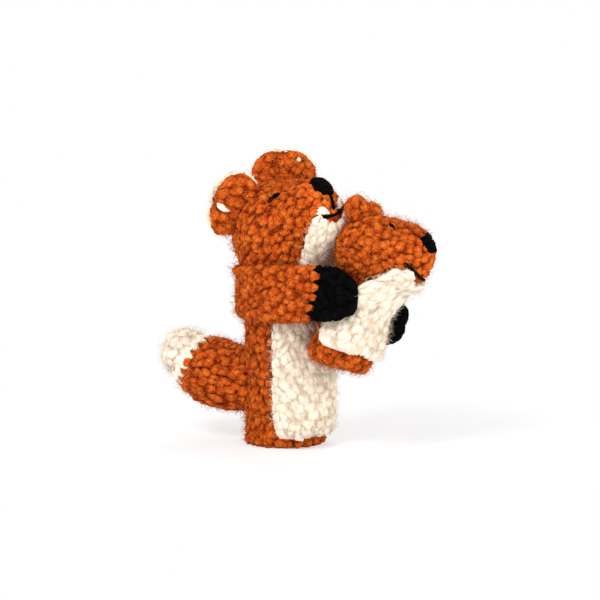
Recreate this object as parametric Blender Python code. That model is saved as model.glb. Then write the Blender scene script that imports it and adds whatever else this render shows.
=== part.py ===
# Crocheted finger puppet: a fox that stands upright and holds its cub in front of it.
# Sizes are millimetres in this file and metres in the meshes.  +Z is up, the fox faces -Y,
# its left side is +X.  Every size below is measured from the centre of the tube's rim.  The finished
# puppet is moved so that the origin is the middle of its base, seen from above.

import math

import bmesh
import bpy
import numpy as np

METRE = 0.001                    # metres in one millimetre

# Yarn
STITCH = 3.5                     # width of a stitch along its round
ROW = 2.8                        # height of a round
RELIEF = 0.9                     # depth of the dips round each stitch
GAP = 0.35                       # clearance between pieces that lie against each other
SEAM_GAP = 0.85                  # the same, measured along a toothed seam
ROOM_TAPER = 20.0                # degrees over which the room left for a panel runs out beside it
TOOTH = 3.4                      # length of the teeth where the yarn changes colour
TOOTH_MARGIN = 0.7               # plain yarn between the teeth and the next round

# Fox: tube for the finger
TUBE_RADIUS = 12.0
TUBE_WALL = 2.7
TUBE_PLAIN = 43.0                # height where the arms cover the tube and its rounds end
LINING_ROWS = 4                  # plain rings that line a hollow

# Fox: cream panel on the front of the tube
BELLY_BOTTOM = 4.0
BELLY_TOP = 46.5
BELLY_WIDTH = 31.0
BELLY_THICKNESS = 3.4

# Fox: head
HEAD_HEIGHT = 67.0
HEAD_RADIUS = 16.2
HEAD_TALL = 1.05                 # height of the head's ball over its width
HEAD_WALL = 2.8
NECK_HOLE = 1.6                  # radius of the opening that the wadding goes in by, drawn shut
SNOUT_RADIUS = 10.0
SNOUT_REACH = 13.4
SNOUT_PITCH = 33.0               # degrees that the snout points up
SNOUT_YAW = -5.0                 # degrees that it turns to the fox's left
HEAD_ROLL = 12.0                 # degrees that the head leans to its right
CHIN_START = 7.0                 # from the tip of the snout, back under the chin
CHIN_LENGTH = 19.0
CHIN_WIDTH = 20.0
CHIN_THICKNESS = 1.9

# Fox: ears, each of two layers.  Both are sewn on with the orange face to the fox's right.  An ear has
# its root, measured from the centre of the head, and the directions it stands out and faces.
EAR_THICKNESS = 3.0
LINING_THICKNESS = 2.4
LINING_MARGIN = 1.2              # how far the cream layer shows past the orange one
EAR_DROP = 2.5                   # how far the ends of an ear's base follow the ball down
RIGHT_EAR_WIDTH = 20.0
RIGHT_EAR_LENGTH = 9.8
RIGHT_EAR_ROOT = (-9.8, 8.0, 8.5)
RIGHT_EAR_OUT = (-0.52, 0.79, 0.32)
RIGHT_EAR_FACE = (-0.75, -0.50, 0.0)
LEFT_EAR_WIDTH = 20.0
LEFT_EAR_LENGTH = 10.8
LEFT_EAR_ROOT = (5.9, 5.4, 12.0)
LEFT_EAR_OUT = (0.15, 0.13, 0.95)
LEFT_EAR_FACE = (-0.72, -0.57, 0.19)

# Fox: arms, flattened tubes that start at the middle of the back
ARM_THICKNESS = 4.2
ARM_ROOT_THICKNESS = 2.2
ARM_HEIGHT = 17.5
ARM_ROOT_HEIGHT = 15.0
ARM_START = 1.6                  # from the middle of the back to the end of each arm
ARM_CUFF = 12.0                  # length of the black paw, from the seam to its tip
# A route is a list of (degrees round the tube from its front, distance off the tube, height from the
# centre of the head).
RIGHT_ARM_ROUTE = [(135.88, 1.79, -18.0), (90.0, 2.8, -16.8), (59.53, 5.75, -16.2),
                   (34.38, 11.02, -15.6), (19.95, 16.72, -15.4), (9.63, 22.69, -15.4)]
LEFT_ARM_ROUTE = [(135.88, 1.79, -18.5), (90.0, 2.8, -18.8), (60.64, 6.36, -20.4),
                  (41.71, 11.44, -23.0), (32.43, 18.21, -25.8), (29.3, 26.41, -28.0)]

# Fox: tail
TAIL_HEIGHT = 19.0
TAIL_SIDE = -3.0                 # the tail starts a little to the fox's right
TAIL_AIM = 14.5                  # degrees that it leans to the fox's right
TAIL_TIP_PITCH = 34.0            # degrees that it rises at its tip
TAIL_LENGTH = 24.0               # along its spine, to the centre of its round end
TAIL_ROOT_RADIUS = 9.2
TAIL_FULL_RADIUS = 10.2
TAIL_END_RADIUS = 7.4
TAIL_SEAM = 20.0                 # where the cream yarn starts, along the skin
TAIL_WALL = 2.6

# Cub: body, a closed cup with its rim band down.  The cub's places are measured from the middle of
# the fox's front: across, off the tube and from the height of the centre of the head.
CUB_FOOT = (-4.6, -13.4, -38.6)  # centre of its flat end
CUB_RADIUS = 9.0
CUB_RIM_RADIUS = 9.6
CUB_CORNER = 2.0                 # radius of the edge round its flat end
CUB_NECK_RADIUS = 6.6
CUB_WALL = 2.4
CUB_FACING = 28.0                # degrees that the body turns from the head, to its right

# Cub: head
CUB_HEAD = (7.0, -18.1, -3.2)    # centre of its ball
CUB_HEAD_RADIUS = 11.4
CUB_SNOUT_RADIUS = 9.6
CUB_SNOUT_REACH = 10.6
CUB_PITCH = -1.0
CUB_YAW = 18.0
CUB_ROLL = -18.0
CUB_NECK_HOLE = 3.4
CUB_EAR_RADIUS = 4.1
CUB_EAR_THICKNESS = 7.0
CUB_EAR_SIDE = 28.0              # degrees from the top of its head
CUB_EAR_BACK = 18.0              # degrees behind the top

# Cub: one cream panel, under the snout from the mouth back, then straight to the body and down it
FRONT_CHIN_START = 9.9           # from the tip of the snout
FRONT_CHIN_LENGTH = 4.2
FRONT_CHIN_TURN = -175.0         # degrees round the snout from the top, toward its left
FRONT_NECK_LENGTH = 10.0
FRONT_BODY_TOP = 18.0            # height on the cub's axis where it reaches the body
FRONT_BODY_BOTTOM = 5.2
FRONT_CHIN_WIDTH = 17.0
FRONT_NECK_WIDTH = 25.0
FRONT_WIDTH = 31.0
FRONT_THICKNESS = 2.6

# Faces.  A stitch is a list of (distance from the tip of the snout, degrees round it from the top
# toward its left).  A nose is a patch of stitches that narrows toward the mouth.
THREAD_RADIUS = 0.65
NOSE_THICKNESS = 1.3
THREAD_GAP = 0.15                # between the threads and the tops of the stitches
NOSE_POINTS = 12
NOSE_ROUNDS = 5
FOX_NOSE_TURN = 24.0             # degrees from the top, toward its left
FOX_NOSE_START = 9.0             # from the tip of the snout
FOX_NOSE_LENGTH = 6.2
FOX_NOSE_WIDTH = 10.0
FOX_NOSE_STITCH = [(2.4, 24.0), (0.5, 120.0), (3.2, 188.0)]
FOX_MOUTH = [(7.4, -116.0), (5.7, -138.0), (4.9, -165.0), (4.9, 165.0), (5.7, 138.0), (7.4, 116.0)]
FOX_EYE = [(20.2, 46.0), (17.2, 35.0)]
CUB_NOSE_TURN = -30.0
CUB_NOSE_START = 8.0
CUB_NOSE_LENGTH = 5.8
CUB_NOSE_WIDTH = 8.0
CUB_MOUTH = [(10.8, -116.0), (8.6, -138.0), (7.6, -172.0), (9.0, 148.0)]
CUB_EYE = [(19.0, 44.0), (16.6, 50.0)]

ORANGE = (0.62, 0.165, 0.025)
CREAM = (0.80, 0.73, 0.60)
BLACK = (0.012, 0.012, 0.014)
WADDING = (0.85, 0.85, 0.83)


def unit(vector):
    vector = np.asarray(vector, dtype=float)
    return vector / np.linalg.norm(vector, axis=-1, keepdims=True)


def facing_frame(pitch, yaw, roll):
    """Forward, left and up of a face that looks along -Y before it is turned, in degrees."""
    pitch, yaw, roll = np.radians([pitch, yaw, roll])
    forward = np.array([math.sin(yaw) * math.cos(pitch), -math.cos(yaw) * math.cos(pitch), math.sin(pitch)])
    left = unit(np.cross((0, 0, 1), forward))
    up = np.cross(forward, left)
    leant_left = math.cos(roll) * left + math.sin(roll) * up
    leant_up = math.cos(roll) * up - math.sin(roll) * left
    return forward, leant_left, leant_up


def before_fox(place):
    """A place that is measured off the tube's front and from the height of the fox's head."""
    return np.array(place) + (0.0, -TUBE_RADIUS, HEAD_HEIGHT)


# Skins: a profile turned round a spine

class Skin:
    """A profile of (axial, radial) points turned round a spine.  Places on it are a distance along
    the profile, a turn from 0 to 1 and a lift off the skin, which may be arrays."""

    def __init__(self, profile, spine, finish=None):
        self.profile = np.array(profile, dtype=float)
        steps = np.linalg.norm(np.diff(self.profile, axis=0), axis=1)
        self.marks = np.concatenate([[0.0], np.cumsum(steps)])
        self.length = self.marks[-1]
        tangents = unit(np.gradient(self.profile, self.marks, axis=0))
        self.normals = np.stack([-tangents[:, 1], tangents[:, 0]], axis=1)
        self.spine = spine
        self.finish = finish

    def read(self, along, column):
        return np.interp(along, self.marks, column)

    def girth(self, along):
        return 2 * math.pi * self.read(along, self.profile[:, 1])

    def mark(self, axial):
        """Distance along the profile to a place on the spine, where the profile runs forward."""
        return float(np.interp(axial, self.profile[:, 0], self.marks))

    def place(self, along, turns, lift):
        along, turns, lift = np.broadcast_arrays(*np.atleast_1d(along, turns, lift))
        axial = self.read(along, self.profile[:, 0]) + self.read(along, self.normals[:, 0]) * lift
        radial = self.read(along, self.profile[:, 1]) + self.read(along, self.normals[:, 1]) * lift
        radial = np.maximum(radial, 0.0)
        centre, left, up = self.spine(axial)
        angle = 2 * math.pi * turns
        across = np.cos(angle)[:, None] * up + np.sin(angle)[:, None] * left
        points = centre + radial[:, None] * across
        return self.finish(points, lift) if self.finish else points

    def pole(self, along, lift):
        return self.place(along, 0.0, lift)[0]


def straight_spine(origin, forward, left, up):
    origin = np.asarray(origin, dtype=float)
    return lambda axial: (origin + axial[:, None] * forward, left, up)


def curved_spine(origin, start, end, length, left):
    """Spine that turns evenly from the start direction to the end direction over its length, and
    runs on straight at both ends."""
    steps = np.linspace(0.0, 1.0, 41)
    directions = unit((1 - steps)[:, None] * start + steps[:, None] * end)
    middles = (directions[1:] + directions[:-1]) / 2 * (length / 40)
    centres = origin + np.concatenate([np.zeros((1, 3)), np.cumsum(middles, axis=0)])

    def spine(axial):
        share = np.clip(axial / length, 0.0, 1.0)
        centre = np.stack([np.interp(share, steps, centres[:, k]) for k in range(3)], axis=1)
        forward = unit(np.stack([np.interp(share, steps, directions[:, k]) for k in range(3)], axis=1))
        centre = centre + (axial - share * length)[:, None] * forward
        up = unit(np.cross(forward, left))
        return centre, left, up
    return spine


def egg_profile(ball, snout, reach):
    """A ball and a smaller ball in front of it in one skin, from the back to the tip of the snout."""
    touch = math.pi / 2 - math.asin((ball - snout) / reach)
    back = np.linspace(math.pi, touch, 61)
    front = np.linspace(touch, 0.0, 41)
    axial = np.concatenate([ball * np.cos(back), reach + snout * np.cos(front)])
    radial = np.concatenate([ball * np.sin(back), snout * np.sin(front)])
    return np.stack([axial, radial], axis=1)


def smooth_profile(points, count):
    """A smooth line through a few profile points, by Catmull and Rom's rule."""
    points = np.array(points, dtype=float)
    padded = np.concatenate([[2 * points[0] - points[1]], points, [2 * points[-1] - points[-2]]])
    lines = []
    for before, here, there, after in zip(padded, padded[1:], padded[2:], padded[3:]):
        step = np.linspace(0.0, 1.0, count, endpoint=False)[:, None]
        lines.append(0.5 * (2 * here + (there - before) * step
                            + (2 * before - 5 * here + 4 * there - after) * step ** 2
                            + (3 * here - before - 3 * there + after) * step ** 3))
    return np.concatenate(lines + [points[-1:]])


# Rounds of stitches, and the solids through them

def stitch_count(girth):
    return max(5, round(girth / STITCH))


def ridge(place, along, turns, stitched, row):
    """One row: high at its stitches and low between them, which lie over the stitches below."""
    index = np.arange(len(turns))
    low = ((index + row) % 2 == 1) & stitched
    return turns, place(along, turns, np.where(low, -RELIEF, 0.0)), low


def all_round(length):
    """Turns for a whole round of stitches, two to a stitch."""
    turns = np.arange(2 * stitch_count(length)) / (2 * stitch_count(length))
    return turns, np.ones(len(turns), dtype=bool)


def outer_half(length):
    """Turns for a flattened round, with stitches on its outer face and a few plain points inside."""
    count = max(4, 2 * round(length / 2 / STITCH))
    plain = max(3, count // 2)
    outer = np.linspace(0.0, 0.5, count + 1)
    inner = np.linspace(0.5, 1.0, plain + 1)[1:-1]
    turns = np.concatenate([outer, inner])
    return turns, turns <= 0.5


def stitch_rounds(place, start, stop, girth, layout=all_round):
    """Rows of stitches from start to stop."""
    rows = max(1, round((stop - start) / ROW))
    pitch = (stop - start) / rows
    middles = [start + (row + 0.5) * pitch for row in range(rows)]
    return [ridge(place, middle, *layout(girth(middle)), row) for row, middle in enumerate(middles)]


def plain_round(place, along, count, lift):
    turns = np.arange(count) / count
    return turns, place(along, turns, lift), np.zeros(count, dtype=bool)


def seam_round(place, seam, turns, stitched, lift):
    """A toothed edge with one tooth for each stitch."""
    low = (np.arange(len(turns)) % 2 == 1) & stitched
    return turns, place(seam + np.where(low, -TOOTH / 2, TOOTH / 2), turns, lift), low


def bridge(faces, lower, upper):
    """Triangles between two rounds, taken in the order of their turns.  Where either diagonal would
    do, it joins two low points, so that each stitch stands up by itself."""
    (low_turns, low_first, low_dips), (high_turns, high_first, high_dips) = lower, upper
    low_count, high_count = len(low_turns), len(high_turns)
    near = 0.6 / max(low_count, high_count)
    low = high = 0
    while low < low_count or high < high_count:
        low_on, high_on = (low + 1) % low_count, (high + 1) % high_count
        next_low = low_turns[low_on] + (low + 1) // low_count
        next_high = high_turns[high_on] + (high + 1) // high_count
        low_here, high_here = low % low_count, high % high_count
        low_first_wins = next_low <= next_high
        if abs(next_low - next_high) < near:
            valley_low = low_dips[low_on] and high_dips[high_here]
            valley_high = low_dips[low_here] and high_dips[high_on]
            low_first_wins = valley_low or (low_first_wins and not valley_high)
        if high == high_count or (low < low_count and low_first_wins):
            faces.append((low_first + low_here, low_first + low_on, high_first + high_here))
            low += 1
        else:
            faces.append((low_first + low_here, high_first + high_on, high_first + high_here))
            high += 1


def fan(faces, ring, pole):
    turns, first, dips = ring
    count = len(turns)
    faces.extend((first + k, first + (k + 1) % count, pole) for k in range(count))


def slit(faces, ring):
    """Shuts the end of a flattened round, whose outer face runs from turn 0 to 0.5 and whose inner
    face runs back, by triangles from one face to the other."""
    turns, first, dips = ring
    middle = int(np.argmin(np.abs(turns - 0.5)))
    outer = [(turns[k], first + k) for k in range(middle + 1)]
    inner = [(turns[0], first)]
    inner += [(1 - turns[k], first + k) for k in range(len(turns) - 1, middle - 1, -1)]
    here = there = 0
    while here < len(outer) - 1 or there < len(inner) - 1:
        outer_next = outer[here + 1][0] if here < len(outer) - 1 else 2.0
        inner_next = inner[there + 1][0] if there < len(inner) - 1 else 2.0
        corners = [outer[here][1], inner[there][1]]
        if outer_next <= inner_next:
            here += 1
            corners.insert(1, outer[here][1])
        else:
            there += 1
            corners.insert(1, inner[there][1])
        if len(set(corners)) == 3:
            faces.append(tuple(corners))


def solid_mesh(rounds, start=None, end=None):
    """Points and triangles of the closed solid through the rounds.  An end is a pole point or
    "slit"; with neither, the last round is joined to the first."""
    points = []
    rings = []
    faces = []
    for turns, places, dips in rounds:
        rings.append((turns, len(points), dips))
        points.extend(places)
    for lower, upper in zip(rings, rings[1:]):
        bridge(faces, lower, upper)
    if start is None and end is None:
        bridge(faces, rings[-1], rings[0])
    for cap, ring in ((start, rings[0]), (end, rings[-1])):
        if isinstance(cap, str):
            slit(faces, ring)
        elif cap is not None:
            points.append(cap)
            fan(faces, ring, len(points) - 1)
    return np.array(points), faces


def wool(name, colour):
    """Matt yarn; each piece has a material of its own."""
    material = bpy.data.materials.new(name)
    material.use_nodes = True
    shader = material.node_tree.nodes["Principled BSDF"]
    shader.inputs["Base Color"].default_value = (*colour, 1.0)
    shader.inputs["Roughness"].default_value = 0.95
    shader.inputs["Metallic"].default_value = 0.0
    material.diffuse_color = (*colour, 1.0)
    return material


def add_piece(name, colour, points, faces, puppet):
    """Makes the named object, placed at the middle of its points."""
    place = (points.min(axis=0) + points.max(axis=0)) / 2
    mesh = bpy.data.meshes.new(name)
    mesh.from_pydata(((points - place) * METRE).tolist(), [], faces)
    shape = bmesh.new()
    shape.from_mesh(mesh)
    bmesh.ops.recalc_face_normals(shape, faces=shape.faces)
    shape.to_mesh(mesh)
    shape.free()
    mesh.shade_smooth()
    mesh.materials.append(wool(name, colour))
    piece = bpy.data.objects.new(name, mesh)
    piece.location = place * METRE
    piece.parent = puppet
    bpy.context.scene.collection.objects.link(piece)
    return piece


def cut(piece, points, faces, puppet):
    """Takes a closed shape out of a piece."""
    cutter = add_piece(piece.name + "_cutter", WADDING, points, faces, puppet)
    cutter.hide_render = True
    cutter.display_type = "WIRE"
    difference = piece.modifiers.new(cutter.name, "BOOLEAN")
    difference.operation = "DIFFERENCE"
    difference.object = cutter


# Flattened pieces: panels, ears and arms

def section(turns, width, thickness):
    """Flat oval section: half-round edges and straight faces.  It starts at one edge, runs over the
    outer face to the other edge and back along the inner face.  Gives the place across, the depth
    from the inner face and the two parts of the outward normal."""
    edge = thickness / 2
    flat = max(width - thickness, 0.0) / 2
    first = np.linspace(math.pi / 2, 0.0, 7)
    outer = [(flat + edge * math.sin(a), edge + edge * math.cos(a), math.sin(a), math.cos(a)) for a in first]
    half = outer + [(-across, depth, -slant, face) for across, depth, slant, face in reversed(outer)]
    whole = np.array(half + [(across, thickness - depth, slant, -face) for across, depth, slant, face in half[::-1]])
    steps = np.linalg.norm(np.diff(whole[:, :2], axis=0), axis=1)
    marks = np.concatenate([[0.0], np.cumsum(steps)])
    return [np.interp(turns, marks / marks[-1], whole[:, k]) for k in range(4)]


def panel_place(surface, width, thickness):
    """Place function for the rounds of a flattened piece.  The surface function takes the distance
    along the piece, the place across it and the depth from its inner face."""
    def place(along, turns, lift):
        along, turns, lift = np.broadcast_arrays(*np.atleast_1d(along, turns, lift))
        middle = float(np.mean(along))
        across, depth, slant, face = section(turns, width(middle), thickness(middle))
        return surface(along, across + slant * lift, depth + face * lift)
    return place


def section_girth(width, thickness):
    return lambda along: 2 * max(width(along) - thickness(along), 0.0) + math.pi * thickness(along)


def rounded(length, full, power, end=0.5):
    """Size along a piece with rounded ends: full in the middle, down to a share at both ends."""
    def size(along):
        share = min(abs(2 * along / length - 1), 1.0)
        return full * (end + (1 - end) * (1 - share ** power) ** (1 / power))
    return size


def on_skin(skin, start, centre_turn, base=GAP):
    """Surface function of a panel that lies on a skin, from a place along it."""
    def surface(along, across, depth):
        place = start + along
        turns = centre_turn + across / skin.girth(place)
        return skin.place(place, turns, base + depth)
    return surface


def add_panel(name, colour, surface, length, width, thickness, puppet):
    place = panel_place(surface, width, thickness)
    rounds = stitch_rounds(place, 0.0, length, section_girth(width, thickness), outer_half)
    return add_piece(name, colour, *solid_mesh(rounds, "slit", "slit"), puppet)


# Room for neighbours: points are moved out until they are clear, with their depth kept

def window(angle, half):
    """1 inside the half angle, 0 a little past it, in degrees."""
    return np.clip((half + ROOM_TAPER - np.abs(angle)) / ROOM_TAPER, 0.0, 1.0)


def clear_of_tube(points, room):
    """Moves points out of the tube and of the cream panel on its front."""
    radius = np.hypot(points[:, 0], points[:, 1])
    angle = np.degrees(np.arctan2(points[:, 0], -points[:, 1]))
    panel_half = math.degrees(BELLY_WIDTH / 2 / (TUBE_RADIUS + BELLY_THICKNESS / 2))
    panel = window(angle, panel_half) * np.clip((BELLY_TOP + ROW - points[:, 2]) / ROW, 0.0, 1.0)
    least = TUBE_RADIUS + GAP + panel * (BELLY_THICKNESS + GAP) + room
    scale = np.where(points[:, 2] < HEAD_HEIGHT, np.maximum(least / np.maximum(radius, 1e-6), 1.0), 1.0)
    return points * np.stack([scale, scale, np.ones_like(scale)], axis=1)


def clear_of_ball(points, room, centre, radius, tall=1.0):
    """Moves points out of a ball, which may be taller than wide."""
    offset = points - np.asarray(centre)
    reach = np.stack([radius + GAP + room] * 2 + [radius * tall + GAP + room], axis=1)
    share = np.linalg.norm(offset / reach, axis=1)
    return np.asarray(centre) + offset / np.minimum(share, 1.0)[:, None]


def clear_of_skin(points, room, skin):
    """Moves points out of a head with a straight spine, away from that spine."""
    origin, left, up = skin.spine(np.zeros(1))
    forward = np.cross(left, up)
    offset = points - origin
    axial = offset @ forward
    radial = offset - axial[:, None] * forward
    distance = np.linalg.norm(radial, axis=1)
    least = np.interp(axial, skin.profile[:, 0], skin.profile[:, 1]) + GAP + room
    inside = (axial > skin.profile[0, 0]) & (axial < skin.profile[-1, 0])
    scale = np.where(inside, np.maximum(least / np.maximum(distance, 1e-6), 1.0), 1.0)
    return points + radial * (scale - 1)[:, None]


def clear_of_cub(points, room, panel=0.0):
    """Moves points out of the cub's body, and of the panel on its front where that has a thickness."""
    foot = before_fox(CUB_FOOT)
    axis = unit(before_fox(CUB_HEAD) - foot)
    height = (points - foot) @ axis
    nearest = foot + np.clip(height, 0.0, None)[:, None] * axis
    offset = points - nearest
    distance = np.linalg.norm(offset, axis=1)
    front, side = cub_front()
    angle = np.degrees(np.arctan2(offset @ side, offset @ front))
    covered = window(angle, math.degrees(FRONT_WIDTH / 2 / CUB_RADIUS))
    body = np.interp(height, cub_heights(), cub_radii())
    least = body + GAP + covered * panel + room
    scale = np.maximum(least / np.maximum(distance, 1e-6), 1.0)
    return nearest + offset * scale[:, None]


# Fox: tube and belly

def seat_height(radius):
    """Height where the underside of the head comes down to a given radius."""
    share = radius / (HEAD_RADIUS + GAP)
    return HEAD_HEIGHT - (HEAD_RADIUS * HEAD_TALL + GAP) * math.sqrt(1 - share ** 2)


def tube_skin():
    profile = [(0.0, TUBE_RADIUS), (HEAD_HEIGHT, TUBE_RADIUS)]
    left, up = np.array([1.0, 0.0, 0.0]), np.array([0.0, -1.0, 0.0])
    return Skin(profile, straight_spine((0, 0, 0), np.array([0.0, 0.0, 1.0]), left, up))


def make_fox_tube(puppet):
    """Open tube: rounds of stitches up to the arms, a top edge shaped to the head, a plain inside."""
    skin = tube_skin()
    count = stitch_count(skin.girth(0.0))
    inner = TUBE_RADIUS - TUBE_WALL
    neck_outer = seat_height(TUBE_RADIUS - RELIEF)
    neck_inner = seat_height(inner)
    rounds = [plain_round(skin.place, 0.0, count, -RELIEF)]
    rounds += stitch_rounds(skin.place, 0.0, TUBE_PLAIN, skin.girth)
    rounds.append(plain_round(skin.place, TUBE_PLAIN, count, -RELIEF))
    rounds.append(plain_round(skin.place, neck_outer, count, -RELIEF))
    for height in np.linspace(neck_inner, 0.0, LINING_ROWS):
        rounds.append(plain_round(skin.place, height, count, -TUBE_WALL))
    add_piece("fox_body", ORANGE, *solid_mesh(rounds), puppet)


def make_fox_belly(puppet):
    length = BELLY_TOP - BELLY_BOTTOM
    surface = on_skin(tube_skin(), BELLY_BOTTOM, 0.0)
    arc = BELLY_WIDTH * TUBE_RADIUS / (TUBE_RADIUS + BELLY_THICKNESS / 2)
    width = rounded(length, arc, 5, 0.6)
    thickness = rounded(length, BELLY_THICKNESS, 3, 0.6)
    add_panel("fox_belly", CREAM, surface, length, width, thickness, puppet)


# Heads

def head_skin(centre, frame, ball, snout, reach, finish=None):
    forward, left, up = frame
    return Skin(egg_profile(ball, snout, reach), straight_spine(centre, forward, left, up), finish)


def fox_head_skin():
    centre = np.array([0.0, 0.0, HEAD_HEIGHT])

    def taller(points, lift):
        return centre + (points - centre) * (1.0, 1.0, HEAD_TALL)
    frame = facing_frame(SNOUT_PITCH, SNOUT_YAW, HEAD_ROLL)
    return head_skin(centre, frame, HEAD_RADIUS, SNOUT_RADIUS, SNOUT_REACH, taller)


def cub_head_skin():
    """The cub's head, pressed in a little where it lies against the fox's chin."""
    forward = facing_frame(SNOUT_PITCH, SNOUT_YAW, HEAD_ROLL)[0]
    chin = np.array([0.0, 0.0, HEAD_HEIGHT]) + forward * SNOUT_REACH * (1.0, 1.0, HEAD_TALL)

    def pressed(points, lift):
        return clear_of_ball(points, GAP + np.maximum(-lift, 0.0), chin, SNOUT_RADIUS + CHIN_THICKNESS + GAP)
    frame = facing_frame(CUB_PITCH, CUB_YAW, CUB_ROLL)
    return head_skin(before_fox(CUB_HEAD), frame, CUB_HEAD_RADIUS, CUB_SNOUT_RADIUS, CUB_SNOUT_REACH, pressed)


def plain_egg(skin, lift):
    """The plain closed form that follows a skin at a depth under it."""
    count = stitch_count(skin.girth(skin.length / 2)) // 2
    rows = round(skin.length / (2.4 * ROW))
    places = np.linspace(0.0, skin.length, rows + 2)[1:-1]
    rounds = [plain_round(skin.place, along, count, lift) for along in places]
    return solid_mesh(rounds, skin.pole(0.0, lift), skin.pole(skin.length, lift))


def make_head(name, skin, wall, hole, neck, puppet):
    """A hollow crocheted head with an opening at its neck, and the wadding in it."""
    rounds = stitch_rounds(skin.place, 0.0, skin.length, skin.girth)
    poles = skin.pole(0.0, -RELIEF), skin.pole(skin.length, -RELIEF)
    head = add_piece(name, ORANGE, *solid_mesh(rounds, *poles), puppet)
    cut(head, *plain_egg(skin, -wall), puppet)
    bore = Skin([(0.0, hole), (np.linalg.norm(neck[1] - neck[0]), hole)],
                straight_spine(neck[0], unit(neck[1] - neck[0]), *across(neck[1] - neck[0])))
    rounds = [plain_round(bore.place, along, 12, 0.0) for along in (0.0, bore.length)]
    cut(head, *solid_mesh(rounds, bore.pole(0.0, -hole), bore.pole(bore.length, -hole)), puppet)
    add_piece(name + "_stuffing", WADDING, *plain_egg(skin, -wall - GAP), puppet)


def across(direction):
    """Two unit vectors square to a direction, and to each other."""
    left = unit(np.cross((0.0, -1.0, 0.0), direction))
    return left, unit(np.cross(direction, left))


def make_fox_head(puppet):
    centre = np.array([0.0, 0.0, HEAD_HEIGHT])
    below = centre - (0.0, 0.0, HEAD_RADIUS * HEAD_TALL + GAP)
    inside = centre - (0.0, 0.0, HEAD_RADIUS / 2)
    skin = fox_head_skin()
    make_head("fox_head", skin, HEAD_WALL, NECK_HOLE, (below, inside), puppet)
    make_fox_chin(skin, puppet)


def make_cub_head(puppet):
    centre = before_fox(CUB_HEAD)
    axis = unit(centre - before_fox(CUB_FOOT))
    below = centre - axis * (CUB_HEAD_RADIUS + GAP)
    inside = centre - axis * CUB_HEAD_RADIUS / 2
    skin = cub_head_skin()
    make_head("cub_head", skin, CUB_WALL, CUB_NECK_HOLE, (below, inside), puppet)


def make_fox_chin(skin, puppet):
    """Cream panel under the snout, from the mouth back to the neck."""
    def surface(along, places, depth):
        place = skin.length - CHIN_START - along
        return skin.place(place, 0.5 + places / skin.girth(place), GAP + depth)
    width = rounded(CHIN_LENGTH, CHIN_WIDTH, 3, 0.5)
    thickness = rounded(CHIN_LENGTH, CHIN_THICKNESS, 3, 0.5)
    add_panel("fox_chin", CREAM, surface, CHIN_LENGTH, width, thickness, puppet)


# Faces

def make_thread(name, skin, stitch, side, puppet):
    """A thread of black yarn on a skin.  Its line is smoothed as it would lie on a flat face."""
    distance, angle = np.array(stitch).T
    angle = np.radians(angle * side)
    line = np.stack([distance * np.sin(angle), distance * np.cos(angle)], axis=1)
    line = smooth_profile(line, 2) if len(line) > 2 else np.linspace(line[0], line[1], 4)
    along = skin.length - np.linalg.norm(line, axis=1)
    turns = np.arctan2(line[:, 0], line[:, 1]) / (2 * math.pi)
    low = skin.place(along, turns, THREAD_GAP + THREAD_RADIUS)
    outward = unit(skin.place(along, turns, THREAD_GAP + 2 * THREAD_RADIUS) - low)
    sideways = unit(np.cross(unit(np.gradient(low, axis=0)), outward))
    turn = np.arange(6) / 6
    ring = THREAD_RADIUS * np.stack([np.cos(2 * math.pi * turn), np.sin(2 * math.pi * turn)], axis=1)
    rounds = [(turn, centre + ring @ np.stack([out, beside]), np.zeros(6, dtype=bool))
              for centre, out, beside in zip(low, outward, sideways)]
    ends = unit(low[0] - low[1]) * THREAD_RADIUS / 2 + low[0], unit(low[-1] - low[-2]) * THREAD_RADIUS / 2 + low[-1]
    add_piece(name, BLACK, *solid_mesh(rounds, *ends), puppet)


def make_nose(name, skin, start, length, full_width, turn, puppet):
    """A black patch on top of the tip of the snout, wide at its upper end."""
    surface = on_skin(skin, skin.length - start, turn / 360, THREAD_GAP)
    thickness = rounded(length, NOSE_THICKNESS, 3, 0.5)

    def width(along):
        share = along / length
        return full_width * (1 - 0.6 * share) * math.sqrt(max(1 - (2 * share - 1) ** 6, 0.3))
    place = panel_place(surface, width, thickness)
    rounds = [plain_round(place, along, NOSE_POINTS, 0.0) for along in np.linspace(0.0, length, NOSE_ROUNDS)]
    add_piece(name, BLACK, *solid_mesh(rounds, "slit", "slit"), puppet)


def make_faces(puppet):
    fox = fox_head_skin()
    cub = cub_head_skin()
    make_nose("fox_nose", fox, FOX_NOSE_START, FOX_NOSE_LENGTH, FOX_NOSE_WIDTH, FOX_NOSE_TURN, puppet)
    make_nose("cub_nose", cub, CUB_NOSE_START, CUB_NOSE_LENGTH, CUB_NOSE_WIDTH, CUB_NOSE_TURN, puppet)
    make_thread("fox_nose_stitch", fox, FOX_NOSE_STITCH, 1, puppet)
    make_thread("fox_mouth", fox, FOX_MOUTH, 1, puppet)
    make_thread("cub_mouth", cub, CUB_MOUTH, 1, puppet)
    for side, word in ((-1, "right"), (1, "left")):
        make_thread("fox_%s_eye" % word, fox, FOX_EYE, side, puppet)
        make_thread("cub_%s_eye" % word, cub, CUB_EYE, side, puppet)


# Ears

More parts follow.
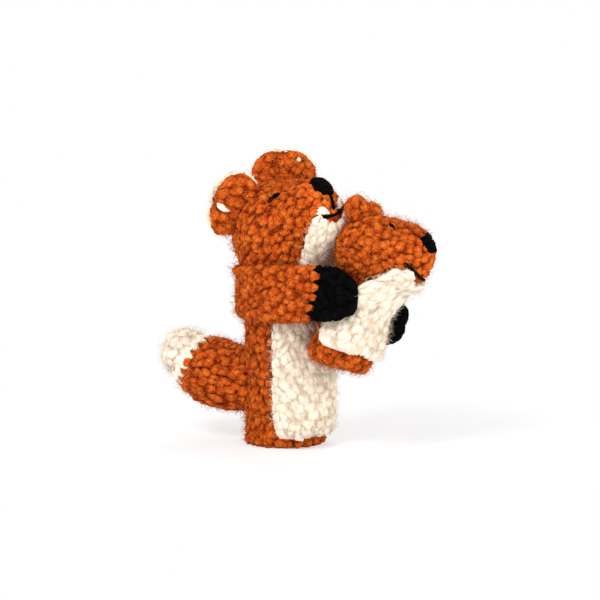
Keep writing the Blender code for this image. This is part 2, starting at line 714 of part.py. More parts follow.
def make_fox_ear(word, root, out, face, full_width, full_length, puppet):
    """Two half-oval layers whose bases follow the ball of the head."""
    out = unit(out)
    face = unit(np.array(face) - out * (face @ out))
    wide = np.cross(out, face)
    root = np.array(root) - out * (root @ out)
    crest = math.sqrt(HEAD_RADIUS ** 2 - root @ root)
    centre = np.array([0.0, 0.0, HEAD_HEIGHT])
    reach = np.array([HEAD_RADIUS + GAP, HEAD_RADIUS + GAP, HEAD_RADIUS * HEAD_TALL + GAP])

    def layer_surface(start_depth, length):
        def surface(along, places, depth):
            flat = root + places[:, None] * wide + (start_depth + depth)[:, None] * face
            bent, aim = flat / reach, out / reach
            dot = bent @ aim
            inside = np.maximum(dot ** 2 - (aim @ aim) * ((bent ** 2).sum(axis=1) - 1), 0.0)
            base = (-dot + np.sqrt(inside)) / (aim @ aim)
            base = np.maximum(base, crest - EAR_DROP)
            top = crest + length
            share = np.clip(along / length, 0.0, 1.0)
            return centre + flat + (base + (top - base) * share)[:, None] * out
        return surface

    def half_oval(width, length):
        def size(along):
            share = min(along / length, 1.0)
            return width * (0.86 + 0.14 * math.sin(math.pi * share)) * math.sqrt(max(1 - share ** 3, 0.12))
        return size
    layers = (("fox_%s_ear" % word, ORANGE, 0.0, full_length, EAR_THICKNESS),
              ("fox_%s_ear_lining" % word, CREAM, -LINING_THICKNESS - GAP, full_length + LINING_MARGIN,
               LINING_THICKNESS))
    for name, colour, depth, length, thick in layers:
        thickness = lambda along, thick=thick: thick
        width = half_oval(full_width, length)
        place = panel_place(layer_surface(depth, length), width, thickness)
        girth = section_girth(width, thickness)
        sewn, stitched = outer_half(girth(0.0))
        rounds = [(sewn, place(0.0, sewn, 0.0), np.zeros(len(sewn), dtype=bool))]
        rounds += stitch_rounds(place, 0.0, length, girth, outer_half)
        add_piece(name, colour, *solid_mesh(rounds, "slit", "slit"), puppet)


def make_cub_ear(word, side, puppet):
    """Small stuffed ball, flat where it is sewn to the head."""
    forward, left, up = facing_frame(CUB_PITCH, CUB_YAW, CUB_ROLL)
    tilt, back = np.radians([CUB_EAR_SIDE, CUB_EAR_BACK])
    out = unit(math.cos(tilt) * up + side * math.sin(tilt) * left - math.tan(back) * forward)
    wide = unit(np.cross(out, forward))
    deep = np.cross(wide, out)
    centre = before_fox(CUB_HEAD) + out * (CUB_HEAD_RADIUS + CUB_EAR_RADIUS * 0.72)
    angles = np.linspace(math.pi, 0.0, 25)
    profile = np.stack([CUB_EAR_RADIUS * np.cos(angles), CUB_EAR_RADIUS * np.sin(angles)], axis=1)
    flatten = CUB_EAR_THICKNESS / (2 * CUB_EAR_RADIUS)

    def finish(points, lift):
        offset = points - centre
        offset = offset - (offset @ deep)[:, None] * deep * (1 - flatten)
        return clear_of_ball(centre + offset, np.zeros(len(points)), before_fox(CUB_HEAD), CUB_HEAD_RADIUS)
    skin = Skin(profile, straight_spine(centre, out, wide, deep), finish)
    rounds = stitch_rounds(skin.place, 0.0, skin.length, skin.girth)
    poles = skin.pole(0.0, 0.0), skin.pole(skin.length, -RELIEF)
    add_piece("cub_%s_ear" % word, ORANGE, *solid_mesh(rounds, *poles), puppet)


# Fox: arms

def make_arm(word, side, route, puppet):
    """Flattened tube from the middle of the back round one side to the cub, black from its seam on."""
    turn, off, height = np.array(route).T
    turn, off, height = np.radians(turn), off + TUBE_RADIUS, height + HEAD_HEIGHT
    start = (side * ARM_START, TUBE_RADIUS + GAP + ARM_ROOT_THICKNESS / 2, height[0])
    places = np.stack([side * off * np.sin(turn), -off * np.cos(turn), height], axis=1)
    line = smooth_profile(np.concatenate([[start], places]), 12)
    steps = np.linalg.norm(np.diff(line, axis=0), axis=1)
    marks = np.concatenate([[0.0], np.cumsum(steps)])
    length = marks[-1]
    tangents = unit(np.gradient(line, marks, axis=0))

    def thickness(along):
        tip = min((length - along) / (ARM_HEIGHT / 2), 1.0)
        body = ARM_ROOT_THICKNESS + (ARM_THICKNESS - ARM_ROOT_THICKNESS) * min(along / (length / 2), 1.0)
        return body * (0.45 + 0.55 * math.sqrt(max(1 - (1 - tip) ** 2, 0.0)))

    def width(along):
        tip = min((length - along) / (ARM_HEIGHT / 2), 1.0)
        root = min(along / (ARM_ROOT_HEIGHT / 3), 1.0)
        body = ARM_ROOT_HEIGHT + (ARM_HEIGHT - ARM_ROOT_HEIGHT) * min(along / (length / 3), 1.0)
        rounding = math.sqrt(max(1 - (1 - tip) ** 2, 0.0)) * (0.4 + 0.6 * math.sqrt(1 - (1 - root) ** 2))
        return body * (0.15 + 0.85 * rounding)

    def surface(along, places, depth):
        centre = np.stack([np.interp(along, marks, line[:, k]) for k in range(3)], axis=1)
        forward = unit(np.stack([np.interp(along, marks, tangents[:, k]) for k in range(3)], axis=1))
        out = side * unit(np.cross((0.0, 0.0, 1.0), forward))
        upright = side * np.cross(forward, out)
        half = np.interp(along, marks, [thickness(mark) / 2 for mark in marks])
        points = centre + upright * places[:, None] + out * (depth - half)[:, None]
        points = clear_of_tube(points, depth)
        points = clear_of_ball(points, depth, (0.0, 0.0, HEAD_HEIGHT), HEAD_RADIUS, HEAD_TALL)
        points = clear_of_cub(points, depth, FRONT_THICKNESS + 3 * GAP)
        return clear_of_ball(points, depth, before_fox(CUB_HEAD), CUB_HEAD_RADIUS)

    place = panel_place(surface, width, thickness)
    girth = section_girth(width, thickness)
    seam = length - ARM_CUFF
    layout = outer_half(girth(seam))
    margin = TOOTH / 2 + TOOTH_MARGIN
    rounds = stitch_rounds(place, 0.0, seam - margin, girth, outer_half)
    rounds.append(seam_round(place, seam, *layout, 0.0))
    add_piece("fox_%s_arm" % word, ORANGE, *solid_mesh(rounds, "slit", "slit"), puppet)
    rounds = [seam_round(place, seam + SEAM_GAP, *layout, 0.0)]
    rounds += stitch_rounds(place, seam + SEAM_GAP + margin, length, girth, outer_half)
    last = outer_half(girth(length))
    rounds.append((last[0], place(length - GAP, last[0], 0.0), np.zeros(len(last[0]), dtype=bool)))
    add_piece("fox_%s_paw" % word, BLACK, *solid_mesh(rounds, "slit", "slit"), puppet)


# Fox: tail

def tail_skin():
    aim = math.radians(TAIL_AIM)
    tip_pitch = math.radians(TAIL_TIP_PITCH)
    level = np.array([-math.sin(aim), math.cos(aim), 0.0])
    end = level * math.cos(tip_pitch) + np.array([0.0, 0.0, math.sin(tip_pitch)])
    left = unit(np.cross(level, (0.0, 0.0, 1.0)))
    seat = TUBE_RADIUS + GAP
    root = np.array([TAIL_SIDE, math.sqrt(seat ** 2 - TAIL_SIDE ** 2), TAIL_HEIGHT])
    body = smooth_profile([(0.0, TAIL_ROOT_RADIUS), (TAIL_LENGTH * 0.3, TAIL_FULL_RADIUS),
                           (TAIL_LENGTH * 0.6, TAIL_FULL_RADIUS), (TAIL_LENGTH, TAIL_END_RADIUS)], 8)
    turn = np.linspace(0.0, math.pi / 2, 13)[1:]
    end_round = np.stack([TAIL_LENGTH + TAIL_END_RADIUS * np.sin(turn), TAIL_END_RADIUS * np.cos(turn)], axis=1)
    profile = np.concatenate([body, end_round])

    def seated(points, lift):
        """The rounds near the root lean on to follow the tube."""
        offset = points - root
        run = offset @ level
        side = offset @ left
        share = np.clip(1 - run / (TAIL_LENGTH * 0.6), 0.0, 1.0) ** 2
        flat = root[:2] + side[:, None] * left[:2]
        dot = flat @ level[:2]
        reach = -dot + np.sqrt(dot ** 2 - (flat ** 2).sum(axis=1) + seat ** 2)
        return points + (reach * share)[:, None] * level
    return Skin(profile, curved_spine(root, level, end, TAIL_LENGTH, left), seated)


def make_tail(puppet):
    """Stuffed tail: an orange sleeve from the tube to the toothed seam, then a cream cup."""
    skin = tail_skin()
    layout = all_round(skin.girth(TAIL_SEAM))
    count = stitch_count(skin.girth(TAIL_SEAM)) // 2 + 4
    margin = TOOTH / 2 + TOOTH_MARGIN
    sleeve = [plain_round(skin.place, 0.0, stitch_count(skin.girth(0.0)), 0.0)]
    sleeve += stitch_rounds(skin.place, 0.0, TAIL_SEAM - margin, skin.girth)
    sleeve.append(seam_round(skin.place, TAIL_SEAM, *layout, 0.0))
    sleeve.append(seam_round(skin.place, TAIL_SEAM, *layout, -TAIL_WALL))
    sleeve_rings = np.linspace(TAIL_SEAM - margin, 0.0, LINING_ROWS)
    sleeve += [plain_round(skin.place, along, count, -TAIL_WALL) for along in sleeve_rings]
    add_piece("fox_tail", ORANGE, *solid_mesh(sleeve), puppet)
    seam = TAIL_SEAM + SEAM_GAP
    cup = stitch_rounds(skin.place, seam + margin, skin.length, skin.girth)[::-1]
    cup.append(seam_round(skin.place, seam, *layout, 0.0))
    cup.append(seam_round(skin.place, seam, *layout, -TAIL_WALL))
    inside = skin.length - TAIL_WALL
    cup_rings = np.linspace(seam + margin, inside, LINING_ROWS)
    cup += [plain_round(skin.place, along, count, -TAIL_WALL) for along in cup_rings]
    poles = skin.pole(skin.length, -RELIEF), skin.pole(skin.length, -TAIL_WALL)
    add_piece("fox_tail_tip", CREAM, *solid_mesh(cup, *poles), puppet)
    depth = -TAIL_WALL - GAP
    places = np.concatenate([[GAP], sleeve_rings[-2::-1], cup_rings])
    filling = [plain_round(skin.place, along, count, depth) for along in places]
    add_piece("fox_tail_stuffing", WADDING,
              *solid_mesh(filling, skin.pole(3 * GAP, -TAIL_ROOT_RADIUS), skin.pole(skin.length, depth)), puppet)


# Cub: body

def cub_front():
    """Directions to the front and to the left of the cub's body, square to its axis."""
    axis = unit(before_fox(CUB_HEAD) - before_fox(CUB_FOOT))
    forward = facing_frame(CUB_PITCH, CUB_YAW - CUB_FACING, 0.0)[0]
    front = unit(forward - axis * (forward @ axis))
    return front, np.cross(axis, front)


def cub_neck(radius):
    """Height on the cub's axis where the underside of its head comes down to a given radius."""
    length = np.linalg.norm(before_fox(CUB_HEAD) - before_fox(CUB_FOOT))
    return length - math.sqrt((CUB_HEAD_RADIUS + 2 * GAP) ** 2 - radius ** 2)


def cub_skin_profile():
    """Rounded end, a slightly wider rim, and a body that narrows to the neck."""
    top = cub_neck(CUB_NECK_RADIUS)
    corner = CUB_CORNER
    turn = np.linspace(0.0, math.pi / 2, 7)
    end_round = np.stack([corner - corner * np.cos(turn), CUB_RIM_RADIUS - corner + corner * np.sin(turn)], axis=1)
    sides = smooth_profile([(2 * corner, CUB_RIM_RADIUS), (top * 0.45, CUB_RADIUS), (top, CUB_NECK_RADIUS)], 8)
    return np.concatenate([[(0.0, 0.0)], end_round, sides])


def cub_skin():
    foot = before_fox(CUB_FOOT)
    axis = unit(before_fox(CUB_HEAD) - foot)
    front, left = cub_front()

    def pressed(points, lift):
        return clear_of_tube(points, np.maximum(-lift, 0.0))
    return Skin(cub_skin_profile(), straight_spine(foot, axis, left, front), pressed)


def cub_heights():
    return cub_skin_profile()[:, 0]


def cub_radii():
    return cub_skin_profile()[:, 1]


def make_cub_body(puppet):
    """Closed cup with its opening under the head, filled with wadding."""
    skin = cub_skin()
    count = stitch_count(skin.girth(skin.length / 2))
    base = CUB_RIM_RADIUS / 2
    top = skin.length
    rounds = [plain_round(skin.place, base, count // 2, -RELIEF)]
    rounds += stitch_rounds(skin.place, base, top, skin.girth)
    rounds.append(plain_round(skin.place, top, count, -RELIEF))
    neck = skin.mark(cub_neck(CUB_NECK_RADIUS - CUB_WALL))
    lining = np.linspace(neck, CUB_RIM_RADIUS + CUB_WALL, LINING_ROWS)
    inner = [plain_round(skin.place, along, count, -CUB_WALL) for along in lining]
    poles = skin.pole(0.0, 0.0), skin.pole(0.0, -CUB_WALL)
    add_piece("cub_body", ORANGE, *solid_mesh(rounds + inner, *poles), puppet)
    depth = -CUB_WALL - GAP
    crown = skin.mark(cub_neck(0.0) - GAP)
    filling = [plain_round(skin.place, along, count, depth) for along in (crown, *lining[1:-1], lining[-1] + GAP)]
    add_piece("cub_body_stuffing", WADDING,
              *solid_mesh(filling, skin.pole(crown, -CUB_NECK_RADIUS), skin.pole(0.0, depth)), puppet)


def make_cub_front(puppet):
    """Cream panel that lies on the snout, then on the body, and runs straight between them."""
    head, body = cub_head_skin(), cub_skin()
    leave = FRONT_CHIN_LENGTH
    reach = leave + FRONT_NECK_LENGTH
    length = reach + FRONT_BODY_TOP - FRONT_BODY_BOTTOM
    places = [0.0, leave, reach, length]
    widths = [FRONT_CHIN_WIDTH, FRONT_CHIN_WIDTH, FRONT_NECK_WIDTH, FRONT_WIDTH]
    ends = rounded(length, 1.0, 4, 0.5)

    def width(along):
        return np.interp(along, places, widths) * ends(along)

    def thickness(along):
        return FRONT_THICKNESS * (0.4 + 0.6 * ends(along))

    def surface(along, across, depth):
        on_head = head.length - FRONT_CHIN_START - np.minimum(along, leave)
        turn = FRONT_CHIN_TURN / 360 - across / head.girth(on_head)
        under = head.place(on_head, turn, GAP + depth)
        height = FRONT_BODY_TOP - np.maximum(along - reach, 0.0)
        on_body = np.interp(height, cub_heights(), body.marks)
        front = body.place(on_body, across / body.girth(on_body), GAP + depth)
        share = np.clip((along - leave) / (reach - leave), 0.0, 1.0)[:, None]
        points = under + (front - under) * share
        return clear_of_skin(clear_of_cub(points, depth), depth, head)
    add_panel("cub_front", CREAM, surface, length, width, thickness, puppet)


def make_puppet():
    puppet = bpy.data.objects.new("finger_puppet", None)
    bpy.context.scene.collection.objects.link(puppet)
    make_fox_tube(puppet)
    make_fox_belly(puppet)
    make_fox_head(puppet)
    make_cub_body(puppet)
    make_cub_front(puppet)
    make_cub_head(puppet)
    make_faces(puppet)
    make_fox_ear("right", RIGHT_EAR_ROOT, np.array(RIGHT_EAR_OUT), RIGHT_EAR_FACE, RIGHT_EAR_WIDTH,
                 RIGHT_EAR_LENGTH, puppet)
    make_fox_ear("left", LEFT_EAR_ROOT, np.array(LEFT_EAR_OUT), LEFT_EAR_FACE, LEFT_EAR_WIDTH,
                 LEFT_EAR_LENGTH, puppet)
    make_cub_ear("right", -1, puppet)
    make_cub_ear("left", 1, puppet)
    make_arm("right", -1, RIGHT_ARM_ROUTE, puppet)
    make_arm("left", 1, LEFT_ARM_ROUTE, puppet)
    make_tail(puppet)
    move_to_base(puppet)


def move_to_base(puppet):
    """Puts the origin at the middle of the puppet's base, seen from above."""
    corners = []
    for piece in puppet.children:
        if not piece.hide_render:
            points = np.array([vertex.co for vertex in piece.data.vertices]) + piece.location
            corners += [points.min(axis=0), points.max(axis=0)]
    middle = (np.min(corners, axis=0) + np.max(corners, axis=0)) / 2
    for piece in puppet.children:
        piece.location.x -= middle[0]
        piece.location.y -= middle[1]


for old in list(bpy.data.objects):
    bpy.data.objects.remove(old)
make_puppet()
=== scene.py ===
import math

import bpy
import numpy as np
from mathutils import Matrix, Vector


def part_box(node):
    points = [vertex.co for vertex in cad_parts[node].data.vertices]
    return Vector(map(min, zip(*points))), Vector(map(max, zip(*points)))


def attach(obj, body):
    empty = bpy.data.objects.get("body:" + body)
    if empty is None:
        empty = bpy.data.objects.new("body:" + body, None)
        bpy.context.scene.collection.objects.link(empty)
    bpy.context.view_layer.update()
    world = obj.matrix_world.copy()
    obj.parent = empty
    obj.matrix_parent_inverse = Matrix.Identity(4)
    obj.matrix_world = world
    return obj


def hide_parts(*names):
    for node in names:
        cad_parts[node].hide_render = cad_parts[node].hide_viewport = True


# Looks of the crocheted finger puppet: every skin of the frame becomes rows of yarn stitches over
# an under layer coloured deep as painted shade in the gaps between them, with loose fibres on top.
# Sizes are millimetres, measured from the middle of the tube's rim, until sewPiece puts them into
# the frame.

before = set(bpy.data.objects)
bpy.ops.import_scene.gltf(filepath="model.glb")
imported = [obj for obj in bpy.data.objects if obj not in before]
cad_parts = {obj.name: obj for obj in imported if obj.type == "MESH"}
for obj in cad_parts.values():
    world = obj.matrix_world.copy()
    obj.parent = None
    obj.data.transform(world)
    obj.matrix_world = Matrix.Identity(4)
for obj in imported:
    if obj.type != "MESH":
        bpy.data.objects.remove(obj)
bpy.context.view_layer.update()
rimLow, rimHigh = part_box("fox_body")
tubeAxis = np.array([(rimLow[0] + rimHigh[0]) / 2, (rimLow[1] + rimHigh[1]) / 2, 0.0])
millimetre = 0.001
chance = np.random.default_rng(11)
wholeTurn = (0.0, 1.0)
print("frame loaded, tube axis at", tubeAxis)


# Vectors and lines

def unit(vectors):
    # each vector over its own length
    return vectors / np.maximum(np.linalg.norm(vectors, axis=-1, keepdims=True), 1e-9)


def faceFrame(pitch, yaw, roll):
    # forward, left and up of a face that looks along -Y before it is pitched, turned and leant
    pitch, yaw, roll = np.radians([pitch, yaw, roll])
    forward = np.array([math.sin(yaw) * math.cos(pitch), -math.cos(yaw) * math.cos(pitch),
                        math.sin(pitch)])
    left = unit(np.cross((0, 0, 1), forward))
    up = np.cross(forward, left)
    return (forward, math.cos(roll) * left + math.sin(roll) * up,
            math.cos(roll) * up - math.sin(roll) * left)


def smoothLine(points, count):
    # a cubic through the points, with count steps to each span and the slope at a point taken
    # from its two neighbours
    points = np.array(points, dtype=float)
    padded = np.concatenate([[2 * points[0] - points[1]], points, [2 * points[-1] - points[-2]]])
    step = np.linspace(0.0, 1.0, count, endpoint=False)[:, None]
    spans = [0.5 * (2 * here + (there - before) * step
                    + (2 * before - 5 * here + 4 * there - after) * step ** 2
                    + (3 * here - before - 3 * there + after) * step ** 3)
             for before, here, there, after in zip(padded, padded[1:], padded[2:], padded[3:])]
    return np.concatenate(spans + [points[-1:]])


def lengthMarks(line):
    # distance along a line at each of its points
    return np.concatenate([[0.0], np.cumsum(np.linalg.norm(np.diff(line, axis=0), axis=1))])


def readLine(along, marks, line):
    # the line's point at a distance along it, column by column
    return np.stack([np.interp(along, marks, column) for column in line.T], axis=-1)


def rounding(share):
    # a quarter circle that rises from 0 at share 0 to 1 at share 1
    return np.sqrt(np.maximum(1 - (1 - np.clip(share, 0.0, 1.0)) ** 2, 0.0))


# Skins: place(along, turns, lift) gives points for arrays of any one shape

def anyShape(placeFlat):
    # lets a function of three flat arrays take arrays of one shape
    def place(along, turns, lift):
        along, turns, lift = np.broadcast_arrays(along, turns, lift)
        points = placeFlat(along.ravel(), turns.ravel(), lift.ravel())
        return points.reshape(along.shape + (3,))
    return place


def straightSpine(origin, forward, left, up):
    # origin + axial * forward
    origin = np.asarray(origin, dtype=float)
    return lambda axial: (origin + axial[:, None] * forward, left, up)


def curvedSpine(origin, start, end, length, left):
    # turns evenly from the start direction to the end direction, and runs on straight past both
    steps = np.linspace(0.0, 1.0, 41)
    directions = unit((1 - steps)[:, None] * start + steps[:, None] * end)
    middles = (directions[1:] + directions[:-1]) / 2 * (length / 40)
    centres = origin + np.concatenate([np.zeros((1, 3)), np.cumsum(middles, axis=0)])

    def spine(axial):
        share = np.clip(axial / length, 0.0, 1.0)
        forward = unit(readLine(share, steps, directions))
        centre = readLine(share, steps, centres) + (axial - share * length)[:, None] * forward
        return centre, left, unit(np.cross(forward, left))
    return spine


def turnedSkin(profile, spine, finish=None):
    # a profile of (axial, radial) points turned round a spine, with lift along its normal
    profile = np.array(profile, dtype=float)
    marks = lengthMarks(profile)
    tangents = unit(np.gradient(profile, marks, axis=0))

    @anyShape
    def place(along, turns, lift):
        axial, radial = readLine(along, marks, profile).T
        slant, climb = readLine(along, marks, tangents).T
        centre, left, up = spine(axial - climb * lift)
        angle = (2 * math.pi * turns)[:, None]
        spoke = np.cos(angle) * up + np.sin(angle) * left
        points = centre + np.maximum(radial + slant * lift, 0.0)[:, None] * spoke
        return finish(points, lift) if finish else points

    def girth(along):
        return 2 * math.pi * np.interp(along, marks, profile[:, 1])
    return {"place": place, "girth": girth, "length": marks[-1], "marks": marks,
            "profile": profile, "spine": spine}


def eggProfile(ball, snout, reach):
    # a ball and a smaller ball in front of it in one outline, from the back to the snout's tip
    touch = math.pi / 2 - math.asin((ball - snout) / reach)
    back, front = np.linspace(math.pi, touch, 61), np.linspace(touch, 0.0, 41)
    return np.concatenate([np.stack([ball * np.cos(back), ball * np.sin(back)], axis=1),
                           np.stack([reach + snout * np.cos(front), snout * np.sin(front)],
                                    axis=1)])


def flatSection(turns, width, thickness):
    # flat oval: from one edge over the outer face (turn 0 to 0.5) and back along the inner face.
    # Two quarter arcs of half the thickness join the straight faces.
    edge = thickness / 2
    flat = np.maximum(width - thickness, 0.0) / 2
    outer = turns % 1.0 <= 0.5
    run = np.where(outer, turns % 1.0, 1 - turns % 1.0) * (4 * flat + 2 * math.pi * edge)
    arc = math.pi / 2 * edge
    first = np.clip(math.pi / 2 - run / edge, 0.0, math.pi / 2)
    second = np.clip((run - arc - 2 * flat) / edge, 0.0, math.pi / 2)
    slant = np.sin(first) - np.sin(second)
    across = flat - np.clip(run - arc, 0.0, 2 * flat) + edge * slant
    face = np.where(outer, 1.0, -1.0) * np.cos(first) * np.cos(second)
    return across, edge * (1 + face), slant, face


def flatSkin(surface, width, thickness, length):
    # a flat oval on surface(along, across, depth), its width and thickness functions of along
    @anyShape
    def place(along, turns, lift):
        kept = np.clip(along, 0.0, length)
        across, depth, slant, face = flatSection(turns, width(kept), thickness(kept))
        return surface(kept, across + slant * lift, depth + face * lift)

    def girth(along):
        return (2 * np.maximum(width(along) - thickness(along), 0.0)
                + math.pi * thickness(along))
    return {"place": place, "girth": girth, "length": length}


def roundedSize(length, full, power, end):
    # full in the middle, down to a share of it at both ends along a superellipse
    def size(along):
        share = np.minimum(np.abs(2 * along / length - 1), 1.0)
        return full * (end + (1 - end) * (1 - share ** power) ** (1 / power))
    return size


# Yarn and stitches

yarn = {
    "stitch": 3.5,          # width of a stitch along its round
    "row": 2.8,             # height of a round
    "gap": 0.35,            # between pieces that lie against each other
    "stations": 5,          # rings along one leg of a stitch
    "sides": 6,
    "legReach": 1.34,       # length of a leg in rows
    "legBase": 0.08,        # how far the legs of a stitch stand apart at the bottom, in stitches
    "legSpread": 0.15,      # how much farther at the top
    "legWidth": 1.20,       # radius of a leg at its middle
    "legEnds": 0.58,        # radius at its ends
    "flatten": 0.68,        # depth of a leg over its width
    "deep": -1.08,          # lift of a leg's ends, below the under layer
    "rise": 0.96,           # how far its middle stands above its ends
    "bend": 0.86,           # below 1 the highest place lies nearer the bottom of the leg
    "under": -0.72,         # lift of the under layer
    "underPaintedShade": 0.28,     # painted shade of the under layer: its share between the crevice colour, 0, and the outside colour, 1
    "inside": 0.35,         # painted shade on the inner side of a strand: its share there, over that on its outer side
    "pole": 0.6,            # how far a strand's ends stand past its last rings, in radii
    "lean": 0.12,           # stitches lean along the round, in stitches per row
    "phase": (0.28, 0.44),  # where a row starts, and how far every other row is shifted
    "feel": 0.4,            # lift over a line where its outward direction is read
    "toneShift": 37.0,      # tone moves a strand's pattern so far along it
}
# Spread of the random changes from stitch to stitch and from leg to leg
vary = {"place": 0.10, "swing": 0.32, "plump": 0.12, "heave": 0.20, "reach": 0.08}
teeth = {
    "length": 3.4,
    "seamGap": 0.85,
    "overlap": 0.45,        # how far a seam's two pieces reach past it, in teeth
    "stitchGap": 0.4,       # how far from it their stitches end, in teeth
    "stations": 7,
    "longer": 1.15,         # length of the strands over that of a tooth
    "uneven": 0.10,
    "base": 0.56,           # share of a strand that lies before the seam
    "spread": 0.30,         # between the middle and a side strand, in stitches
    "wander": 0.03,
    "deep": -0.75,
    "rise": 1.05,
    "point": 0.18,          # radius at the point
    "width": 0.80,          # how much thicker at the base
}


def clearOfBall(points, room, centre, radius, tall=1.0):
    # points inside a ball that is tall times as high are moved out along its rays
    reach = (radius + yarn["gap"] + room)[:, None] * np.array([1.0, 1.0, tall])
    share = np.linalg.norm((points - centre) / reach, axis=1)
    return centre + (points - centre) / np.minimum(share, 1.0)[:, None]


def overPanel(side, front, half):
    # 1 up to half degrees from the front, then down to 0 over the arms' taper
    angle = np.abs(np.degrees(np.arctan2(side, front)))
    return np.clip((half + arms["taper"] - angle) / arms["taper"], 0.0, 1.0)


def clearOfTube(points, room):
    # below the head, points are moved out level from the tube, and farther over its panel
    radius = np.hypot(points[:, 0], points[:, 1])
    panel = overPanel(points[:, 0], -points[:, 1], belly["half"])
    panel = panel * np.clip((belly["top"] + yarn["row"] - points[:, 2]) / yarn["row"], 0.0, 1.0)
    least = tube["radius"] + yarn["gap"] + panel * (belly["thickness"] + yarn["gap"]) + room
    scale = np.maximum(least / np.maximum(radius, 1e-6), 1.0)
    scale = np.where(points[:, 2] < foxHead["height"], scale, 1.0)
    return points * np.stack([scale, scale, np.ones_like(scale)], axis=1)


def clearOfHead(points, room, skin):
    # points inside a head's profile are moved straight out from its spine
    origin, left, up = skin["spine"](np.zeros(1))
    forward = np.cross(left, up)
    axial = (points - origin) @ forward
    radial = points - origin - axial[:, None] * forward
    distance = np.maximum(np.linalg.norm(radial, axis=1), 1e-6)
    ends, radii = skin["profile"].T
    least = np.interp(axial, ends, radii) + yarn["gap"] + room
    inside = (axial > ends[0]) & (axial < ends[-1])
    scale = np.where(inside, np.maximum(least / distance, 1.0), 1.0)
    return points + radial * (scale - 1)[:, None]


def clearOfCub(points, room, panel):
    # points inside the cub's body are moved out from its axis, and farther over its panel
    height = (points - cubFoot) @ cubAxis
    nearest = cubFoot + np.clip(height, 0.0, None)[:, None] * cubAxis
    offset = points - nearest
    distance = np.maximum(np.linalg.norm(offset, axis=1), 1e-6)
    panel = panel * overPanel(offset @ cubSide, offset @ cubFront, cubPanel["half"])
    least = np.interp(height, *cubSkin["profile"].T) + yarn["gap"] + panel + room
    return nearest + offset * np.maximum(least / distance, 1.0)[:, None]


def newBatch():
    return {key: [] for key in ("points", "quads", "quadUv", "tris", "triUv", "depth", "tone")}


def addPart(batch, **part):
    # the part's faces count from its own first point, and are moved on past the points held
    held = sum(len(points) for points in batch["points"])
    for key, values in part.items():
        batch[key].append(values + held if key in ("quads", "tris") else values)


def addCopies(batch, points, quads, uv, tris, depth):
    # the same faces for every strand of points[strand, point], each with a tone of its own
    count, size = points.shape[:2]
    tone = chance.random(count)
    base = (np.arange(count) * size)[:, None, None]
    shift = np.stack([tone * yarn["toneShift"], np.zeros(count)], axis=-1)[:, None, None]
    addPart(batch, points=points.reshape(-1, 3), quads=(quads + base).reshape(-1, 4),
            quadUv=(uv + shift).reshape(-1, 4, 2), tris=(tris + base).reshape(-1, 3),
            triUv=np.broadcast_to(shift, (count, len(tris), 3, 2)).reshape(-1, 3, 2),
            depth=depth.ravel(), tone=np.repeat(tone, size))


def gridFaces(rows, cols, pace):
    # cells of a grid of rings, each ring closed on itself, and their UV at pace for each step
    row, col = np.meshgrid(np.arange(rows - 1), np.arange(cols), indexing="ij")
    low, high, along = row * cols, (row + 1) * cols, (col + 1) % cols
    quads = np.stack([low + col, low + along, high + along, high + col], axis=-1).reshape(-1, 4)
    u = np.stack([row, row, row + 1, row + 1], axis=-1).reshape(-1, 4) * pace[0]
    v = np.stack([col, col + 1, col + 1, col], axis=-1).reshape(-1, 4) * pace[1]
    return quads, np.stack([u, v], axis=-1)


def poleFaces(rows, cols):
    # fans that shut the first and the last ring with two poles, held after the rings
    turn = np.arange(cols)
    after, last = (turn + 1) % cols, (rows - 1) * cols
    return np.concatenate([
        np.stack([np.full(cols, rows * cols), after, turn], axis=-1),
        np.stack([np.full(cols, rows * cols + 1), last + turn, last + after], axis=-1)])


def overSkin(skin, along, turns, lift):
    # a line's points over a skin, and the way out of the skin at each of them
    centres = skin["place"](along, turns, lift)
    return centres, skin["place"](along, turns, lift + yarn["feel"]) - centres


def ringsRound(line, radius, flatten, sides):
    # rings round the lines: radius * (cos * flatten * outward + sin * beside)
    centres, outward = line
    run = unit(np.gradient(centres, axis=1))
    outward = unit(outward - (outward * run).sum(axis=-1, keepdims=True) * run)
    beside = np.cross(run, outward)
    angle = 2 * math.pi * np.arange(sides) / sides
    ring = (np.cos(angle)[:, None] * flatten * outward[:, :, None]
            + np.sin(angle)[:, None] * beside[:, :, None]) * radius[:, :, None, None]
    return centres[:, :, None] + ring, run, (1 + np.cos(angle)) / 2


def addStrands(batch, line, radius, flatten, depth, sides, pace):
    # Tubes round line = centres[strand, station] and their outward, shut by a pole at each end.
    # The line runs along U in millimetres, the ring along V.
    centres = line[0]
    strands, stations = centres.shape[:2]
    radius = np.broadcast_to(radius, (strands, stations))
    rings, run, facing = ringsRound(line, radius, flatten, sides)
    tip = radius * yarn["pole"]
    ends = np.stack([centres[:, 0] - run[:, 0] * tip[:, :1],
                     centres[:, -1] + run[:, -1] * tip[:, -1:]], axis=1)
    points = np.concatenate([rings.reshape(strands, -1, 3), ends], axis=1)
    # painted shade: each ring is coloured darker on its inner side than on its outer side
    shade = yarn["inside"] + (1 - yarn["inside"]) * facing
    shade = np.broadcast_to(depth, (strands, stations))[:, :, None] * shade
    shade = np.concatenate([shade.reshape(strands, -1), np.zeros((strands, 2))], axis=1)
    quads, uv = gridFaces(stations, sides, (pace, 1 / sides))
    addCopies(batch, points, quads, uv, poleFaces(stations, sides), shade)


def addFibres(batch, line, radius, depth):
    # three sided needles: a ring at each station but the last, which is the point, and one face
    # that shuts the root
    rings = ringsRound(line, radius, 1.0, 3)[0][:, :-1]
    count, stations = rings.shape[:2]
    points = np.concatenate([rings.reshape(count, -1, 3), line[0][:, -1:]], axis=1)
    point = 3 * stations
    a, b, c = point - 3, point - 2, point - 1
    tris = np.array([[2, 1, 0], [point, a, b], [point, b, c], [point, c, a]])
    quads, uv = gridFaces(stations, 3, (1.0, 1 / 3))
    addCopies(batch, points, quads, uv, tris, np.repeat(depth, point + 1))


